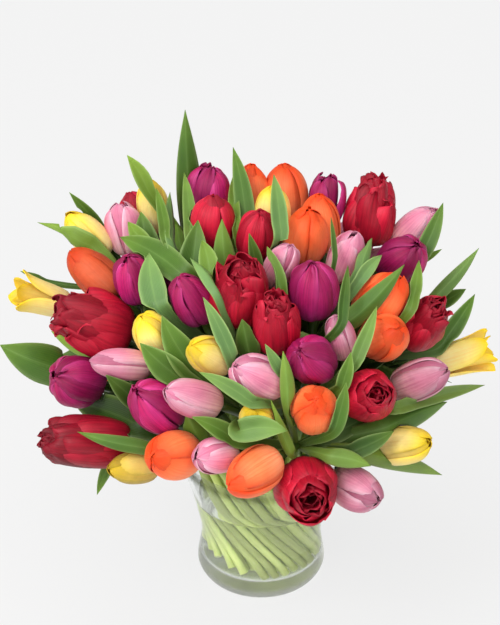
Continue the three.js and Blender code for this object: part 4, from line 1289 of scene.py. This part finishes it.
foliage = Builder()
for leaf in table_leaves():
    leaf = slide_clear(leaf, heads)
    add_leaf(foliage, leaf, leaf_origin(leaf, bends, heads), heads, rng)
for leaf in fill_leaves(heads, rng):
    add_leaf(foliage, leaf, None, heads, rng, rows=14, columns=7)
foliage.build("leaves", leaf_material(), "leafy_stems", "green_leaf")

stalks = Builder()
for line in stems:
    foot, neck = line[:2]
    lower = []
    for t in np.linspace(0, 0.8, 6):
        bowed = 1 + STEM_BOW * sin(pi * t)
        lower.append((foot + (neck - foot) * t) * [bowed, bowed, 1])
    upper = smooth_through([lower[-1], *line[1:]], 22)[1:]
    path = np.concatenate([lower, upper])
    radii = np.full(len(path), STEM_LOOK_RADIUS * rng.uniform(0.88, 1.08))
    radii *= 1 + 0.03 * np.sin(np.arange(len(path)) * 1.3 + rng.uniform(0, 6))
    stalks.tube(path, radii, 10, rng.uniform(0, 1), cut=rng.uniform(-1.2, 1.2))
stalks.build("stems", stem_material(), "leafy_stems", "green_leaf")

fades = dict(Alpha=RIM_FADE, Roughness=FOOT_HAZE)
clear_glass = clear_material("clear_glass", 0xFCFFFD, 1.45, 0.5, 0xD2D4BE, 4.6, **fades)
clear_water = clear_material("clear_water", 0xFEFFFC, 1.33, 0.12, 0xDCE8BC, 3.0)
lathe("glass_vase", vase_profile(), clear_glass, "vase", "clear_glass")
lathe("vase_water", water_profile(), clear_water, "water", "water")

# ---------------- floor, light and camera

FLOOR_REACH, FLOOR_GREY, FLOOR_GLOW = 9.0, 0.125, 0.755
WORLD_DIM, WORLD_BRIGHT = 0.29, 2.0
# Where the light from all round comes from most, and the share of the sky that it brightens over.
SKY_FROM, SKY_SPAN = (-0.35, -0.55, 0.9), (0.25, 1.0)
# Lamps: name, place in metres, size and power, all aimed at the middle of the bunch.
LAMPS = [("key_light", (-1.1, -1.5, 1.9), 0.9, 21), ("fill_light", (1.4, -1.2, 1.5), 1.2, 4)]
AIM_HEIGHT = 0.28
SENSOR, PICTURE_WIDTH = 36, 500


def stand(piece, right, up, back, position):
    """Sets a lamp or the camera at a position, looking away from back."""
    rows = [[right[i], up[i], back[i], position[i]] for i in range(3)] + [[0, 0, 0, 1]]
    piece.matrix_world = Matrix(rows)
    bpy.context.scene.collection.objects.link(piece)


def studio():
    floor_mesh = bpy.data.meshes.new("floor")
    corners = [(x * FLOOR_REACH, y * FLOOR_REACH, 0) for x, y in ((-1, -1), (1, -1), (1, 1), (-1, 1))]
    floor_mesh.from_pydata(corners, [], [(0, 1, 2, 3)])
    floor = bpy.data.objects.new("floor", floor_mesh)
    bpy.context.scene.collection.objects.link(floor)
    n = Look("pale_floor")
    n.set(Roughness=0.9, Base_Color=[FLOOR_GREY] * 3 + [1], Specular_IOR_Level=0.0)
    n.set(Emission_Strength=FLOOR_GLOW, Emission_Color=[1, 1, 1, 1])
    floor_mesh.materials.append(n.material)

    # Soft light from all round, stronger from above, in front and to the left.
    world = bpy.data.worlds.new("studio")
    world.use_nodes = True
    sky, background = Nodes(world.node_tree), world.node_tree.nodes["Background"]
    directions = (sky.node("TexCoord", out="Generated"), unit(np.array(SKY_FROM)))
    toward = sky.node("VectorMath", *directions, operation="DOT_PRODUCT", out="Value")
    sky.link(sky.smooth(toward, *SKY_SPAN, WORLD_DIM, WORLD_BRIGHT), background.inputs["Strength"])
    sky.link((1, 1, 1, 1), background.inputs["Color"])
    bpy.context.scene.world = world

    for name, position, size, power in LAMPS:
        light = bpy.data.lights.new(name, "AREA")
        light.shape, light.size, light.energy = "DISK", size, power
        back = unit(np.array(position) - np.array([0, 0, AIM_HEIGHT]))
        right = unit(np.cross([0, 1, 0.2], back))
        stand(bpy.data.objects.new(name, light), right, np.cross(back, right), back, position)

    camera_data = bpy.data.cameras.new("camera")
    camera_data.sensor_fit = "HORIZONTAL"
    camera_data.sensor_width = SENSOR
    camera_data.lens = SENSOR * FOCAL / PICTURE_WIDTH
    camera_data.clip_end = 50
    camera = bpy.data.objects.new("camera", camera_data)
    stand(camera, rightward, upward, -sight, eye * MM)
    bpy.context.scene.camera = camera
    bpy.context.scene.view_settings.view_transform = "Standard"


studio()
